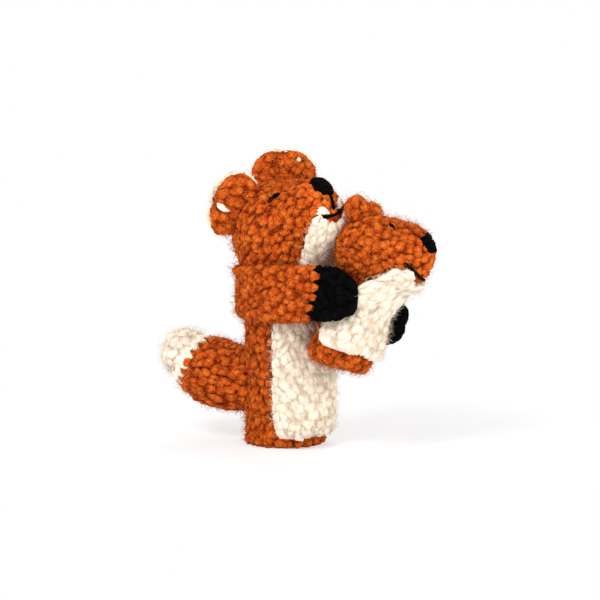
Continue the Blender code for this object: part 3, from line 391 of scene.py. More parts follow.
def addShell(batch, skin, places, lifts, cols, ends, pace):
    # the under layer: a closed surface of rings over a skin, coloured mostly deep as painted shade
    # in the gaps between stitches, shut by "poles", "slit" or "joined" ends, and turned over where
    # the sum of a . (b x c) over its triangles is below 0
    rings = skin["place"](places[:, None], np.arange(cols) / cols, lifts[:, None])
    rows = len(rings)
    last = (rows - 1) * cols
    points = rings.reshape(-1, 3)
    quads, uv = gridFaces(rows, cols, pace)
    more, tris = np.zeros((0, 4), dtype=int), np.zeros((0, 3), dtype=int)
    if ends == "joined":
        turn = np.arange(cols)
        after = (turn + 1) % cols
        more = np.stack([last + turn, last + after, after, turn], axis=-1)
    elif ends == "poles":
        points = np.concatenate([points, rings[:1].mean(axis=1), rings[-1:].mean(axis=1)])
        tris = poleFaces(rows, cols)
    else:
        half = cols // 2
        middle = np.arange(1, half - 1)
        strip = np.stack([middle, middle + 1, cols - middle - 1, cols - middle], axis=-1)
        cap = np.array([[0, 1, cols - 1], [half - 1, half, half + 1]])
        more = np.concatenate([strip[:, ::-1], strip + last])
        tris = np.concatenate([cap[:, ::-1], cap + last])
    quads = np.concatenate([quads, more])
    uv = np.concatenate([uv, np.zeros((len(more), 4, 2))])
    a, b, c = (points[corner] for corner in
               np.concatenate([quads[:, [0, 1, 2]], quads[:, [0, 2, 3]], tris]).T)
    if (a * np.cross(b, c)).sum() < 0:
        quads, uv, tris = quads[:, ::-1], uv[:, ::-1], tris[:, ::-1]
    addPart(batch, points=points, quads=quads, quadUv=uv, tris=tris,
            triUv=np.zeros((len(tris), 3, 2)), depth=np.full(len(points), yarn["underPaintedShade"]),
            tone=np.full(len(points), 0.5))


def addStitches(batch, skin, start, stop, span=wholeTurn, puff=1.0):
    # rows of V stitches from start to stop.  A leg runs from the bottom of its V, under the row
    # below, up and outwards, and dives again at its top: lift = deep + rise * sin(pi t^bend)
    rows = max(1, round((stop - start) / yarn["row"]))
    pitch = (stop - start) / rows
    breadth = span[1] - span[0]
    first, shifted = yarn["phase"]
    middles, turns, widths = [], [], []
    for row in range(rows):
        middle = start + (row + 0.5) * pitch
        count = max(3, round(float(skin["girth"](middle)) * breadth / yarn["stitch"]))
        phase = (first + shifted * (row % 2) + yarn["lean"] * row * (span == wholeTurn)) % 1.0
        middles.append(np.full(count, middle))
        turns.append(span[0] + (np.arange(count) + phase) * breadth / count)
        widths.append(np.full(count, breadth / count))
    middles, turns, widths = (np.concatenate(held)[:, None] for held in (middles, turns, widths))
    each = (len(middles), 1)
    shift = chance.normal(0.0, vary["place"], (len(middles), 2))
    swing = chance.normal(0.0, vary["swing"], each)
    t = np.linspace(0.0, 1.0, yarn["stations"])
    bow = np.sin(math.pi * t ** yarn["bend"])
    spread = yarn["legBase"] + yarn["legSpread"] * t ** 0.8
    thick = (yarn["legEnds"] + (yarn["legWidth"] - yarn["legEnds"]) * bow) * (1.3 - 0.3 * puff)
    for side in (-1.0, 1.0):
        plump = 1 + chance.normal(0.0, vary["plump"], each)
        heave = chance.normal(0.0, vary["heave"], each) * puff
        reach = yarn["legReach"] * (1 + chance.normal(0.0, vary["reach"], each))
        along = middles + pitch * (shift[:, :1] + reach * (t - 0.5) - side * swing * 0.5)
        across = side * spread + shift[:, 1:] + (yarn["lean"] + swing) * (t - 0.5)
        lift = (yarn["deep"] + yarn["rise"] * bow) * puff + heave * bow
        line = overSkin(skin, along, turns + widths * across, lift)
        # painted shade: each leg is coloured deeper towards its ends, where it goes under the row
        addStrands(batch, line, thick * plump, yarn["flatten"] * (0.4 + 0.6 * puff),
                   np.clip((bow - 0.15) / 0.75, 0.0, 1.0), yarn["sides"],
                   yarn["row"] * yarn["legReach"] / (yarn["stations"] - 1))


def addTeeth(batch, skin, seam, heading, puff=1.0):
    # one tooth for each stitch where the yarn changes colour: two strands that lean together to
    # a point and one between them.  heading is 1 where they point to the skin's end, and -1 to
    # its start.
    count = max(3, round(float(skin["girth"](seam)) / yarn["stitch"]))
    turns = (np.arange(count) / count)[:, None]
    t = np.linspace(0.0, 1.0, teeth["stations"])
    bow = np.sin(math.pi * np.clip(t * 0.95 + 0.08, 0.0, 1.0))
    uneven = chance.normal(0.0, teeth["uneven"], (count, 1))
    length = teeth["length"] * (teeth["longer"] + uneven)
    radius = teeth["point"] + teeth["width"] * (1 - t) ** 0.6 * np.minimum(1.0, 4 * t + 0.6)
    for side in (-1.0, 0.0, 1.0):
        along = seam + heading * (length * (t - teeth["base"]) - (side == 0) * 0.2)
        across = side * teeth["spread"] * (1 - t ** 1.2)
        across = across + chance.normal(0.0, teeth["wander"], (count, 1))
        lift = (teeth["deep"] + teeth["rise"] * bow + (side == 0) * 0.08) * puff
        # painted shade: each strand of a tooth is coloured deeper towards its ends, where it goes
        # under the stitches
        addStrands(batch, overSkin(skin, along, turns + across / count, lift), radius,
                   yarn["flatten"], np.clip(bow * 1.3 - 0.1, 0.0, 1.0), yarn["sides"],
                   teeth["length"] / (teeth["stations"] - 1))


# Materials

spun = {
    "fine": (0.55, 14.0, 3.0), "broad": (0.35, 5.0, 2.0),   # noise along, round, and its detail
    "twist": {"Scale": 0.5, "Distortion": 1.2, "Detail": 1.0}, "climb": (1.6, 4.0, 1.0),
    "patch": {"Scale": 420.0, "Detail": 4.0, "Roughness": 0.7},
    "lit": (0.32, 2.6), "shadow": (0.42, 3.0), "groove": (0.45, 3.2),   # level and gain
    "gloom": (0.50, 5.0), "gold": (0.52, 5.0),
    "gloomShare": 0.75, "goldShare": 0.60, "grooveShadeShare": 0.40, "crestHighlightShare": 0.16,
    "fineHeight": 0.6, "twistHeight": 0.4,
}


def feed(node, inputs):
    # a value is set on its input, and another node's output is linked to it
    for name, value in inputs.items():
        if isinstance(value, bpy.types.NodeSocket):
            node.id_data.links.new(value, node.inputs[name])
        else:
            node.inputs[name].default_value = value
    return node


def newNode(tree, kind, inputs, **settings):
    # a shader node with its settings, its values and what feeds it
    node = tree.nodes.new("ShaderNode" + kind)
    for name, value in settings.items():
        setattr(node, name, value)
    return feed(node, inputs)


def newMaterial(name):
    # a material, its nodes and its shader
    material = bpy.data.materials.new(name)
    material.use_nodes = True
    return material, material.node_tree, material.node_tree.nodes["Principled BSDF"]


def objectSpace(tree):
    return newNode(tree, "TexCoord", {}).outputs["Object"]


def cameraRay(tree):
    return newNode(tree, "LightPath", {}).outputs["Is Camera Ray"]


def woolGroup():
    # the look of spun wool: painted shade in the crevices and in the grooves between plies and
    # fibres, painted highlight on the crests, and fibres that run along the strands
    group = bpy.data.node_groups.new("spunWool", "ShaderNodeTree")
    for name, kind, side in (("Bright", "Color", "INPUT"), ("Middle", "Color", "INPUT"),
                             ("Deep", "Color", "INPUT"), ("Streaks", "Float", "INPUT"),
                             ("Color", "Color", "OUTPUT"), ("Height", "Float", "OUTPUT")):
        group.interface.new_socket(name=name, in_out=side, socket_type="NodeSocket" + kind)
    given, result = group.nodes.new("NodeGroupInput"), group.nodes.new("NodeGroupOutput")
    strand = newNode(group, "UVMap", {}, uv_map="strand").outputs["UV"]
    depth, tone = (newNode(group, "Attribute", {}, attribute_name=name).outputs["Fac"]
                   for name in ("depth", "tone"))

    def alongStrand(kind, scale, inputs, **settings):
        # a pattern that is scaled along and round the strand
        stretch = newNode(group, "Mapping", {"Vector": strand, "Scale": scale})
        inputs = {"Vector": stretch.outputs["Vector"], **inputs}
        return newNode(group, kind, inputs, **settings).outputs["Fac"]

    def drawnOut(along, across, detail):
        return alongStrand("TexNoise", (along, across, 1.0),
                           {"Scale": 1.0, "Detail": detail, "Roughness": 0.6})

    def blend(first, second, factor):
        # first where factor is 0, second where it is 1
        mix = newNode(group, "Mix", {}, data_type="RGBA", blend_type="MIX")
        return feed(mix, {"A": first, "B": second, "Factor": factor}).outputs["Result"]

    def work(kind, first, second):
        values = {0: first, 1: second}
        clamped = kind != "SUBTRACT"
        return newNode(group, "Math", values, operation=kind, use_clamp=clamped).outputs[0]

    def above(value, name):
        # gain * (value - level)
        level, gain = spun[name]
        return work("MULTIPLY", work("SUBTRACT", value, level), gain)

    def below(value, name):
        # gain * (level - value)
        level, gain = spun[name]
        return work("MULTIPLY", work("SUBTRACT", level, value), gain)

    # patches of darker and lighter wool, a few millimetres across, that don't follow the stitches
    patch = newNode(group, "TexNoise", {"Vector": objectSpace(group), **spun["patch"]})
    gloom, gold = below(patch.outputs["Fac"], "gloom"), above(patch.outputs["Fac"], "gold")
    fine, broad = drawnOut(*spun["fine"]), drawnOut(*spun["broad"])
    # two plies twisted together: a wave that climbs round the strand
    twist = alongStrand("TexWave", spun["climb"], spun["twist"], bands_direction="DIAGONAL")
    bright, middle, deep = (given.outputs[name] for name in ("Bright", "Middle", "Deep"))
    body = blend(middle, bright, work("MULTIPLY", above(fine, "lit"), given.outputs["Streaks"]))
    body = blend(middle, body, work("ADD", above(broad, "shadow"), tone))
    # painted shade in the groove between the two plies and in the fine grooves between fibres,
    # mixed towards deep
    between = work("POWER", work("SUBTRACT", 1.0, twist), 3.0)
    dark = work("ADD", below(fine, "groove"), between)
    body = blend(body, deep, work("MULTIPLY", dark, spun["grooveShadeShare"]))
    body = blend(body, deep, work("MULTIPLY", gloom, spun["gloomShare"]))
    body = blend(body, bright, work("MULTIPLY", gold, spun["goldShare"]))
    # painted highlight: the crests of the strands, where depth is high, are lightened towards
    # bright
    crest = work("MULTIPLY", work("POWER", depth, 3.0), spun["crestHighlightShare"])
    body = blend(body, bright, crest)
    height = work("ADD", work("MULTIPLY", fine, spun["fineHeight"]),
                  work("MULTIPLY", twist, spun["twistHeight"]))
    # painted shade: where depth is low, in crevices, on the under layer, at the ends of legs that
    # go under and on the inner sides of strands, the colour goes to deep
    feed(result, {"Color": blend(deep, body, depth), "Height": height})
    return group


def woolColour(seen):
    # a colour as it is seen, 0 to 255, to the shader's linear scale
    seen = np.array(seen) / 255
    linear = np.where(seen <= 0.04045, seen / 12.92, ((seen + 0.055) / 1.055) ** 2.4)
    return (*linear, 1.0)


def woolLook(name, colours, streaks, sheen, tint, bump):
    # matt fibres with a soft sheen, coloured and roughened by the group for spun wool
    material, tree, shader = newMaterial(name)
    bright, middle, deep = map(woolColour, colours)
    wool = newNode(tree, "Group", {}, node_tree=spunWool)
    feed(wool, {"Bright": bright, "Middle": middle, "Deep": deep, "Streaks": streaks})
    rough = newNode(tree, "Bump", {"Strength": bump, "Distance": 0.4 * millimetre,
                                   "Height": wool.outputs["Height"]})
    feed(shader, {"Base Color": wool.outputs["Color"], "Normal": rough.outputs["Normal"],
                  "Roughness": 0.92, "Specular IOR Level": 0.06, "Sheen Weight": sheen,
                  "Sheen Roughness": 0.45, "Sheen Tint": (*tint, 1.0)})
    material.diffuse_color = middle
    return material


# Bright, middle and deep colour, then streaks, sheen, sheen tint and bump.  Deep is the painted
# shade of crevices and grooves and also the colour of the darker patches; bright is the painted
# highlight of crests and also of lit streaks and lighter patches
wools = {
    "orange": {
        "slot": "orange_wool",
        "Wool": (((252, 144, 50), (205, 65, 6), (132, 20, 1)), 0.9, 0.16, (1.0, 0.50, 0.14), 0.9),
        "Fibre": (((255, 172, 80), (228, 98, 18), (126, 20, 1)), 0.5, 0.1, (1.0, 0.6, 0.2), 0.0)},
    "cream": {
        "slot": "cream_wool",
        "Wool": (((254, 248, 236), (250, 238, 220), (242, 222, 198)), 0.8, 0.30, (1.0, 0.97, 0.9),
                 0.3),
        "Fibre": (((255, 252, 242), (250, 240, 222), (236, 216, 190)), 0.5, 0.2, (1.0, 0.97, 0.9),
                  0.0)},
    "black": {
        "slot": "black_wool",
        "Wool": (((15, 13, 12), (3, 3, 3), (1, 1, 1)), 0.6, 0.0, (0.4, 0.4, 0.45), 0.8),
        "Fibre": (((24, 21, 20), (8, 7, 7), (3, 3, 3)), 0.5, 0.0, (0.4, 0.4, 0.45), 0.0)},
}
spunWool = woolGroup()
looks = {colour + kind: woolLook(colour + kind, *wools[colour][kind])
         for kind in ("Wool", "Fibre") for colour in wools}
print("materials made")


# Pieces

fuzzSources = {colour: [] for colour in wools}
padding = {
    "flatInset": 0.15, "roundInset": 0.2,               # of the under layer from both ends
    "flatRows": 40, "flatCols": 64,
    "outerLift": 0.9, "wholeLift": 0.55,                # share of the under layer's lift
    "outerStitches": (-0.03, 0.53), "outerFuzz": (0.0, 0.5), "armFuzz": (-0.08, 0.58),
}


def putObject(name, data):
    made = bpy.data.objects.new(name, data)
    bpy.context.scene.collection.objects.link(made)
    return made


def sewPiece(name, batch, colour, nodes=(), kind="Wool"):
    # one mesh from a batch, in metres and in the frame's place, riding on the puppet
    held = {key: np.concatenate(values) for key, values in batch.items()}
    points = held["points"] * millimetre + tubeAxis
    points[:, 2] = np.maximum(points[:, 2], 0.05 * millimetre)
    mesh = bpy.data.meshes.new(name)
    mesh.from_pydata(points.tolist(), [], held["quads"].tolist() + held["tris"].tolist())
    uv = np.concatenate([held["quadUv"].reshape(-1, 2), held["triUv"].reshape(-1, 2)])
    mesh.uv_layers.new(name="strand").data.foreach_set("uv", uv.astype(np.float32).ravel())
    # depth is the painted shade share of each point, from the crevice colour, 0, to the outside
    # colour, 1; tone is a random share
    for key in ("depth", "tone"):
        attribute = mesh.attributes.new(key, "FLOAT", "POINT")
        attribute.data.foreach_set("value", held[key].astype(np.float32))
    mesh.shade_smooth()
    mesh.materials.append(looks[colour + kind])
    piece = putObject(name, mesh)
    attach(piece, "root")
    if nodes:
        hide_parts(*nodes)
    return piece


def sewPanel(name, skin, colour, node, puff, outerOnly=True, start=0.0, stop=None, seam=None):
    # a flattened piece: closed under layer with stitches on its outer face, or all round it
    stop = skin["length"] if stop is None else stop
    batch = newBatch()
    rows, inset = padding["flatRows"], padding["flatInset"]
    share = padding["outerLift" if outerOnly else "wholeLift"]
    addShell(batch, skin, np.linspace(start + inset, stop - inset, rows),
             np.full(rows, yarn["under"] * puff * share), padding["flatCols"], "slit",
             ((stop - start) / (rows - 1), 0.6))
    last = stop if seam is None else seam - teeth["length"] * teeth["stitchGap"]
    span = padding["outerStitches"] if outerOnly else wholeTurn
    addStitches(batch, skin, start, last, span, puff)
    if seam is not None:
        addTeeth(batch, skin, seam, 1.0, puff)
    onArm = seam is not None or colour == "black"
    fuzz = padding["outerFuzz"] if outerOnly else padding["armFuzz"] if onArm else wholeTurn
    fuzzSources[colour].append((skin, start, stop, fuzz))
    sewPiece(name, batch, colour, [node])


def sewRound(name, skin, colour, node, start=0.0, stop=None, rows=46, cols=72, puff=1.0, seam=None,
             bare=1.0):
    # a stuffed form: closed under layer from pole to pole, with stitches all over.  No loose
    # fibres start on the last bare millimetres.
    stop = skin["length"] if stop is None else stop
    batch = newBatch()
    inset = padding["roundInset"]
    addShell(batch, skin, np.linspace(start + inset, stop - inset, rows),
             np.full(rows, yarn["under"] * puff), cols, "poles", ((stop - start) / rows, 1.0))
    first = start if seam is None else seam + teeth["length"] * teeth["stitchGap"]
    addStitches(batch, skin, first, stop, puff=puff)
    if seam is not None:
        addTeeth(batch, skin, seam, -1.0, puff)
    fuzzSources[colour].append((skin, start + 1.0, stop - bare, wholeTurn))
    piece = sewPiece(name, batch, colour, [node])


# Fox: tube for the finger

tube = {"radius": 12.0, "wall": 2.7, "top": 52.5, "innerRows": 26.0, "bottom": 0.6,
        "stitchStart": 0.4, "shellRows": 40, "shellCols": 66, "fuzzTop": 46.0}
rim = {
    "strands": 32, "stations": 6,
    "sweep": 1.25,          # half turns that a strand makes over the edge
    "slant": 1.3,           # how far it runs on round the edge, in strands
    "inset": 0.35,          # its middle line from the wall's faces
    "height": 0.9, "drop": 0.35,
    "heart": 2.5,           # height of the place that the strands face away from
    "radius": 0.62, "thicker": 0.22, "flatten": 0.85, "depth": 0.75, "pace": 0.8,
}
belly = {"bottom": 4.0, "top": 46.5, "width": 31.0, "thickness": 3.4, "puff": 0.38}
belly["half"] = math.degrees(belly["width"] / 2 / (tube["radius"] + belly["thickness"] / 2))
arms = {"thickness": 4.2, "rootThickness": 2.2, "height": 17.5, "rootHeight": 15.0, "start": 1.6,
        "cuff": 12.0, "taper": 20.0, "puff": 0.85,
        "right": [(-9.6, 9.9, 49.0), (-14.8, 0.0, 50.2), (-15.3, -9.0, 50.8),
                  (-13.0, -19.0, 51.4), (-9.8, -27.0, 51.6), (-5.8, -34.2, 51.6)],
        "left": [(9.6, 9.9, 48.5), (14.8, 0.0, 48.2), (16.0, -9.0, 46.6),
                 (15.6, -17.5, 44.0), (16.2, -25.5, 41.2), (18.8, -33.5, 39.0)]}
foxHead = {"height": 67.0, "radius": 16.2, "tall": 1.05, "snout": 10.0, "reach": 13.4,
           "pitch": 33.0, "yaw": -5.0, "roll": 12.0, "bareSnout": 9.0}
foxHeadCentre = np.array([0.0, 0.0, foxHead["height"]])

tubeSkin = turnedSkin([(0.0, tube["radius"]), (foxHead["height"], tube["radius"])],
                      straightSpine((0, 0, 0), *np.array([(0.0, 0.0, 1.0), (1.0, 0.0, 0.0),
                                                          (0.0, -1.0, 0.0)])))


def sewTube():
    # outer and inner wall as one shell, stitches outside and down inside, and a rim of short
    # slanted strands that turn the edge over: lift = half wall * cos, height = 0.9 - drop * sin
    batch = newBatch()
    rows = tube["shellRows"]
    heights = np.linspace(tube["bottom"], tube["top"], rows)
    lifts = np.repeat([yarn["under"], -tube["wall"] + 0.5], rows)
    addShell(batch, tubeSkin, np.concatenate([heights, heights[::-1]]), lifts, tube["shellCols"],
             "joined", (1.3, 1.1))
    addStitches(batch, tubeSkin, tube["stitchStart"], tube["top"])
    inside = dict(tubeSkin)
    inside["place"] = lambda along, turns, lift: tubeSkin["place"](along, turns,
                                                                   -tube["wall"] - lift)
    addStitches(batch, inside, tube["stitchStart"], tube["innerRows"], puff=0.7)
    t = np.linspace(0.0, 1.0, rim["stations"])
    angle = math.pi * (t - 0.1) * rim["sweep"]
    half = tube["wall"] / 2
    lift = -half + (half - rim["inset"]) * np.cos(angle)
    height = rim["height"] - rim["drop"] * np.sin(np.clip(angle, 0, math.pi))
    turns = (np.arange(rim["strands"])[:, None] + rim["slant"] * t) / rim["strands"]
    centres = tubeSkin["place"](height, turns, lift)
    outward = centres - tubeSkin["place"](rim["heart"], turns, -half)
    swell = np.sin(math.pi * t)
    # painted shade: the rim strands are coloured deeper towards their ends, where they go into the
    # wall
    addStrands(batch, (centres, outward), rim["radius"] + rim["thicker"] * swell, rim["flatten"],
               rim["depth"] * swell ** 0.5, yarn["sides"], rim["pace"])
    fuzzSources["orange"].append((tubeSkin, 0.5, tube["fuzzTop"], wholeTurn))
    sewPiece("foxBodyYarn", batch, "orange", ["fox_body"])


def onSkin(skin, place, turn, across, depth):
    # turns = turn + across / girth, lift = gap + depth
    return skin["place"](place, turn + across / skin["girth"](place), yarn["gap"] + depth)


def panelOn(skin, start, way, turn, length, width, thickness, powers, end):
    # a flat oval on a turned skin from start on, towards its end or, where way is -1, its start
    def surface(along, across, depth):
        return onSkin(skin, start + way * along, turn, across, depth)
    return flatSkin(surface, roundedSize(length, width, powers[0], end),
                    roundedSize(length, thickness, powers[1], end), length)


def sewBelly():
    # the panel's width is measured at the middle of its thickness
    arc = belly["width"] * tube["radius"] / (tube["radius"] + belly["thickness"] / 2)
    skin = panelOn(tubeSkin, belly["bottom"], 1, 0.0, belly["top"] - belly["bottom"], arc,
                   belly["thickness"], (5, 3), 0.6)
    sewPanel("foxBellyYarn", skin, "cream", "fox_belly", belly["puff"])


# Heads

def tallerHead(points, lift):
    # heights over the head's centre times tall
    return foxHeadCentre + (points - foxHeadCentre) * (1.0, 1.0, foxHead["tall"])


foxFrame = faceFrame(foxHead["pitch"], foxHead["yaw"], foxHead["roll"])
foxHeadSkin = turnedSkin(eggProfile(foxHead["radius"], foxHead["snout"], foxHead["reach"]),
                         straightSpine(foxHeadCentre, *foxFrame), tallerHead)
foxSnoutBall = foxHeadCentre + foxFrame[0] * foxHead["reach"] * (1.0, 1.0, foxHead["tall"])
foxChin = {"start": 7.0, "length": 19.0, "width": 20.0, "thickness": 1.9, "puff": 0.34}

cub = {"foot": (-4.6, -25.4, 28.4), "radius": 9.0, "rimRadius": 9.6, "neckRadius": 6.6,
       "corner": 2.0, "facing": 28.0, "head": (7.0, -30.1, 63.8), "headRadius": 11.4,
       "snout": 9.6, "reach": 10.6, "pitch": -1.0, "yaw": 18.0, "roll": -18.0, "bareSnout": 7.5}
cubPanel = {"chinStart": 9.9, "chinLength": 4.2, "chinTurn": -175.0, "neckLength": 10.0,
            "bodyTop": 18.0, "bodyBottom": 5.2, "chinWidth": 17.0, "neckWidth": 25.0,
            "width": 31.0, "thickness": 2.6, "puff": 0.38}
cubPanel["half"] = math.degrees(cubPanel["width"] / 2 / cub["radius"])
cubFoot, cubHeadCentre = np.array(cub["foot"]), np.array(cub["head"])
cubAxis = unit(cubHeadCentre - cubFoot)
cubForward = faceFrame(cub["pitch"], cub["yaw"] - cub["facing"], 0.0)[0]
cubFront = unit(cubForward - cubAxis * (cubForward @ cubAxis))
cubSide = np.cross(cubAxis, cubFront)
cubFrame = faceFrame(cub["pitch"], cub["yaw"], cub["roll"])


def pressedHead(points, lift):
    # the cub's head gives way where it lies against the fox's chin
    room = yarn["gap"] + np.maximum(-lift, 0.0)
    radius = foxHead["snout"] + foxChin["thickness"] + yarn["gap"]
    return clearOfBall(points, room, foxSnoutBall, radius)


def pressedBody(points, lift):
    # the cub's body gives way where it lies against the tube's panel
    return clearOfTube(points, np.maximum(-lift, 0.0))


def cubProfile():
    # rounded end, a slightly wider rim, and a body that narrows to the neck
    length = np.linalg.norm(cubHeadCentre - cubFoot)
    neck = (cub["headRadius"] + 2 * yarn["gap"]) ** 2 - cub["neckRadius"] ** 2
    top = length - math.sqrt(neck)
    corner = cub["corner"]
    turn = np.linspace(0.0, math.pi / 2, 7)
    endRound = np.stack([corner - corner * np.cos(turn),
                         cub["rimRadius"] - corner + corner * np.sin(turn)], axis=1)
    sides = smoothLine([(2 * corner, cub["rimRadius"]), (top * 0.45, cub["radius"]),
                        (top, cub["neckRadius"])], 8)
    return np.concatenate([[(0.0, 0.0)], endRound, sides])


cubHeadSkin = turnedSkin(eggProfile(cub["headRadius"], cub["snout"], cub["reach"]),
                         straightSpine(cubHeadCentre, *cubFrame), pressedHead)
cubSkin = turnedSkin(cubProfile(), straightSpine(cubFoot, cubAxis, cubSide, cubFront), pressedBody)


def sewChin():
    skin = panelOn(foxHeadSkin, foxHeadSkin["length"] - foxChin["start"], -1, 0.5,
                   foxChin["length"], foxChin["width"], foxChin["thickness"], (3, 3), 0.5)
    sewPanel("foxChinYarn", skin, "cream", "fox_chin", foxChin["puff"])


def sewCubPanel():
    # lies on the snout, then on the body, and runs straight between them
    leave = cubPanel["chinLength"]
    reach = leave + cubPanel["neckLength"]
    length = reach + cubPanel["bodyTop"] - cubPanel["bodyBottom"]
    ends = roundedSize(length, 1.0, 4, 0.5)
    widths = [cubPanel[part] for part in ("chinWidth", "chinWidth", "neckWidth", "width")]

    def width(along):
        return np.interp(along, [0.0, leave, reach, length], widths) * ends(along)

    def thickness(along):
        return cubPanel["thickness"] * (0.4 + 0.6 * ends(along))

    def surface(along, across, depth):
        onHead = cubHeadSkin["length"] - cubPanel["chinStart"] - np.minimum(along, leave)
        under = onSkin(cubHeadSkin, onHead, cubPanel["chinTurn"] / 360, -across, depth)
        height = cubPanel["bodyTop"] - np.maximum(along - reach, 0.0)
        onBody = np.interp(height, cubSkin["profile"][:, 0], cubSkin["marks"])
        front = onSkin(cubSkin, onBody, 0.0, across, depth)
        share = np.clip((along - leave) / (reach - leave), 0.0, 1.0)[:, None]
        points = under + (front - under) * share
        return clearOfHead(clearOfCub(points, depth, 0.0), depth, cubHeadSkin)
    skin = flatSkin(surface, width, thickness, length)
    sewPanel("cubFrontYarn", skin, "cream", "cub_front", cubPanel["puff"])


# Ears

foxEars = {
    "liningThickness": 2.4, "drop": 2.5, "puff": 0.7, "liningPuff": 0.6,
    "right": {"width": 20.4, "length": 9.0, "thickness": 2.5, "margin": 1.7,
              "root": (-9.8, 8.0, 8.5), "out": (-0.52, 0.79, 0.32), "face": (-0.75, -0.50, 0.0),
              "tacks": [((3.4, 0.292), (7.6, 0.300)), ((5.0, 0.278), (7.8, 0.282))]},
    "left": {"width": 19.6, "length": 10.6, "thickness": 3.0, "margin": 1.2,
             "root": (5.9, 5.4, 12.0), "out": (0.15, 0.13, 0.95), "face": (-0.72, -0.57, 0.19),
             "tacks": [((7.2, 0.13), (8.6, 0.10))]},
}
tack = {"stations": 9, "lift": 0.2, "rise": 0.75, "radius": 0.30, "thicker": 0.42, "flatten": 0.8,
        "depth": 0.9, "sides": 8, "pace": 0.5}
cubEars = {"radius": 4.1, "thickness": 7.0, "side": 28.0, "back": 18.0, "seat": 0.72,
           "rows": 20, "cols": 30, "puff": 0.8}


def earSkin(ear, startDepth, length, thick):
    # a half oval that stands out of the head, with width * (0.78 + 0.26 sin) * root of what is
    # left of share^4
    out = unit(np.array(ear["out"]))
    face = np.array(ear["face"])
    face = unit(face - out * (face @ out))
    wide = np.cross(out, face)
    root = np.array(ear["root"]) - out * (np.array(ear["root"]) @ out)
    crest = math.sqrt(foxHead["radius"] ** 2 - root @ root)
    ball = foxHead["radius"] + yarn["gap"]
    reach = np.array([ball, ball, foxHead["radius"] * foxHead["tall"] + yarn["gap"]])

    def surface(along, across, depth):
        # the base follows the ball: the largest t where |flat + t out| meets it
        flat = root + across[:, None] * wide + (startDepth + depth)[:, None] * face
        bent, aim = flat / reach, out / reach
        dot = bent @ aim
        inside = np.maximum(dot ** 2 - (aim @ aim) * ((bent ** 2).sum(axis=1) - 1), 0.0)
        base = np.maximum((-dot + np.sqrt(inside)) / (aim @ aim), crest - foxEars["drop"])
        share = np.clip(along / length, 0.0, 1.0)
        return foxHeadCentre + flat + (base + (crest + length - base) * share)[:, None] * out

    def width(along):
        share = np.minimum(along / length, 1.0)
        full = ear["width"] * (0.78 + 0.26 * np.sin(math.pi * share * 0.9))
        return full * np.sqrt(np.maximum(1 - share ** 4, 0.2))
    return flatSkin(surface, width, lambda along: thick + 0 * along, length)


def sewTack(name, skin, ends):
    # a short cream stitch that comes up through the ear and goes down again: lift + rise * root of
    # sin(pi t)
    t = np.linspace(0.0, 1.0, tack["stations"])[None]
    along, turns = (first + (last - first) * t for first, last in zip(*ends))
    swell = np.sin(math.pi * t).clip(0.0)
    batch = newBatch()
    addStrands(batch, overSkin(skin, along, turns, tack["lift"] + tack["rise"] * np.sqrt(swell)),
               tack["radius"] + tack["thicker"] * swell, tack["flatten"], tack["depth"],
               tack["sides"], tack["pace"])
    sewPiece(name, batch, "cream")


def sewFoxEars():
    for word in ("right", "left"):
        ear = foxEars[word]
        title = "fox" + word.capitalize() + "Ear"
        skin = earSkin(ear, 0.0, ear["length"], ear["thickness"])
        sewPanel(title + "Yarn", skin, "orange", "fox_%s_ear" % word, foxEars["puff"], False)
        for number, ends in enumerate(ear["tacks"]):
            sewTack("%sTack%d" % (title, number + 1), skin, ends)
        skin = earSkin(ear, -foxEars["liningThickness"] - yarn["gap"],
                       ear["length"] + ear["margin"], foxEars["liningThickness"])
        sewPanel(title + "LiningYarn", skin, "cream", "fox_%s_ear_lining" % word,
                 foxEars["liningPuff"], False)


def sewCubEars():
    # a ball turned round the way out of the head, and pressed flat from the front
    forward, left, up = cubFrame
    tilt, back = np.radians([cubEars["side"], cubEars["back"]])
    radius = cubEars["radius"]
    turn = np.linspace(math.pi, 0.0, 25)
    profile = np.stack([radius * np.cos(turn), radius * np.sin(turn)], axis=1)
    pressed = 1 - cubEars["thickness"] / (2 * radius)
    for word, side in (("right", -1), ("left", 1)):
        out = unit(math.cos(tilt) * up + side * math.sin(tilt) * left - math.tan(back) * forward)
        wide = unit(np.cross(out, forward))
        deep = np.cross(wide, out)
        centre = cubHeadCentre + out * (cub["headRadius"] + radius * cubEars["seat"])

        def finish(points, lift, centre=centre, deep=deep):
            offset = points - centre
            offset = offset - (offset @ deep)[:, None] * deep * pressed
            return clearOfBall(centre + offset, np.zeros(len(points)), cubHeadCentre,
                               cub["headRadius"])
        skin = turnedSkin(profile, straightSpine(centre, out, wide, deep), finish)
        sewRound("cub%sEarYarn" % word.capitalize(), skin, "orange", "cub_%s_ear" % word,
                 rows=cubEars["rows"], cols=cubEars["cols"], puff=cubEars["puff"])


# Arms

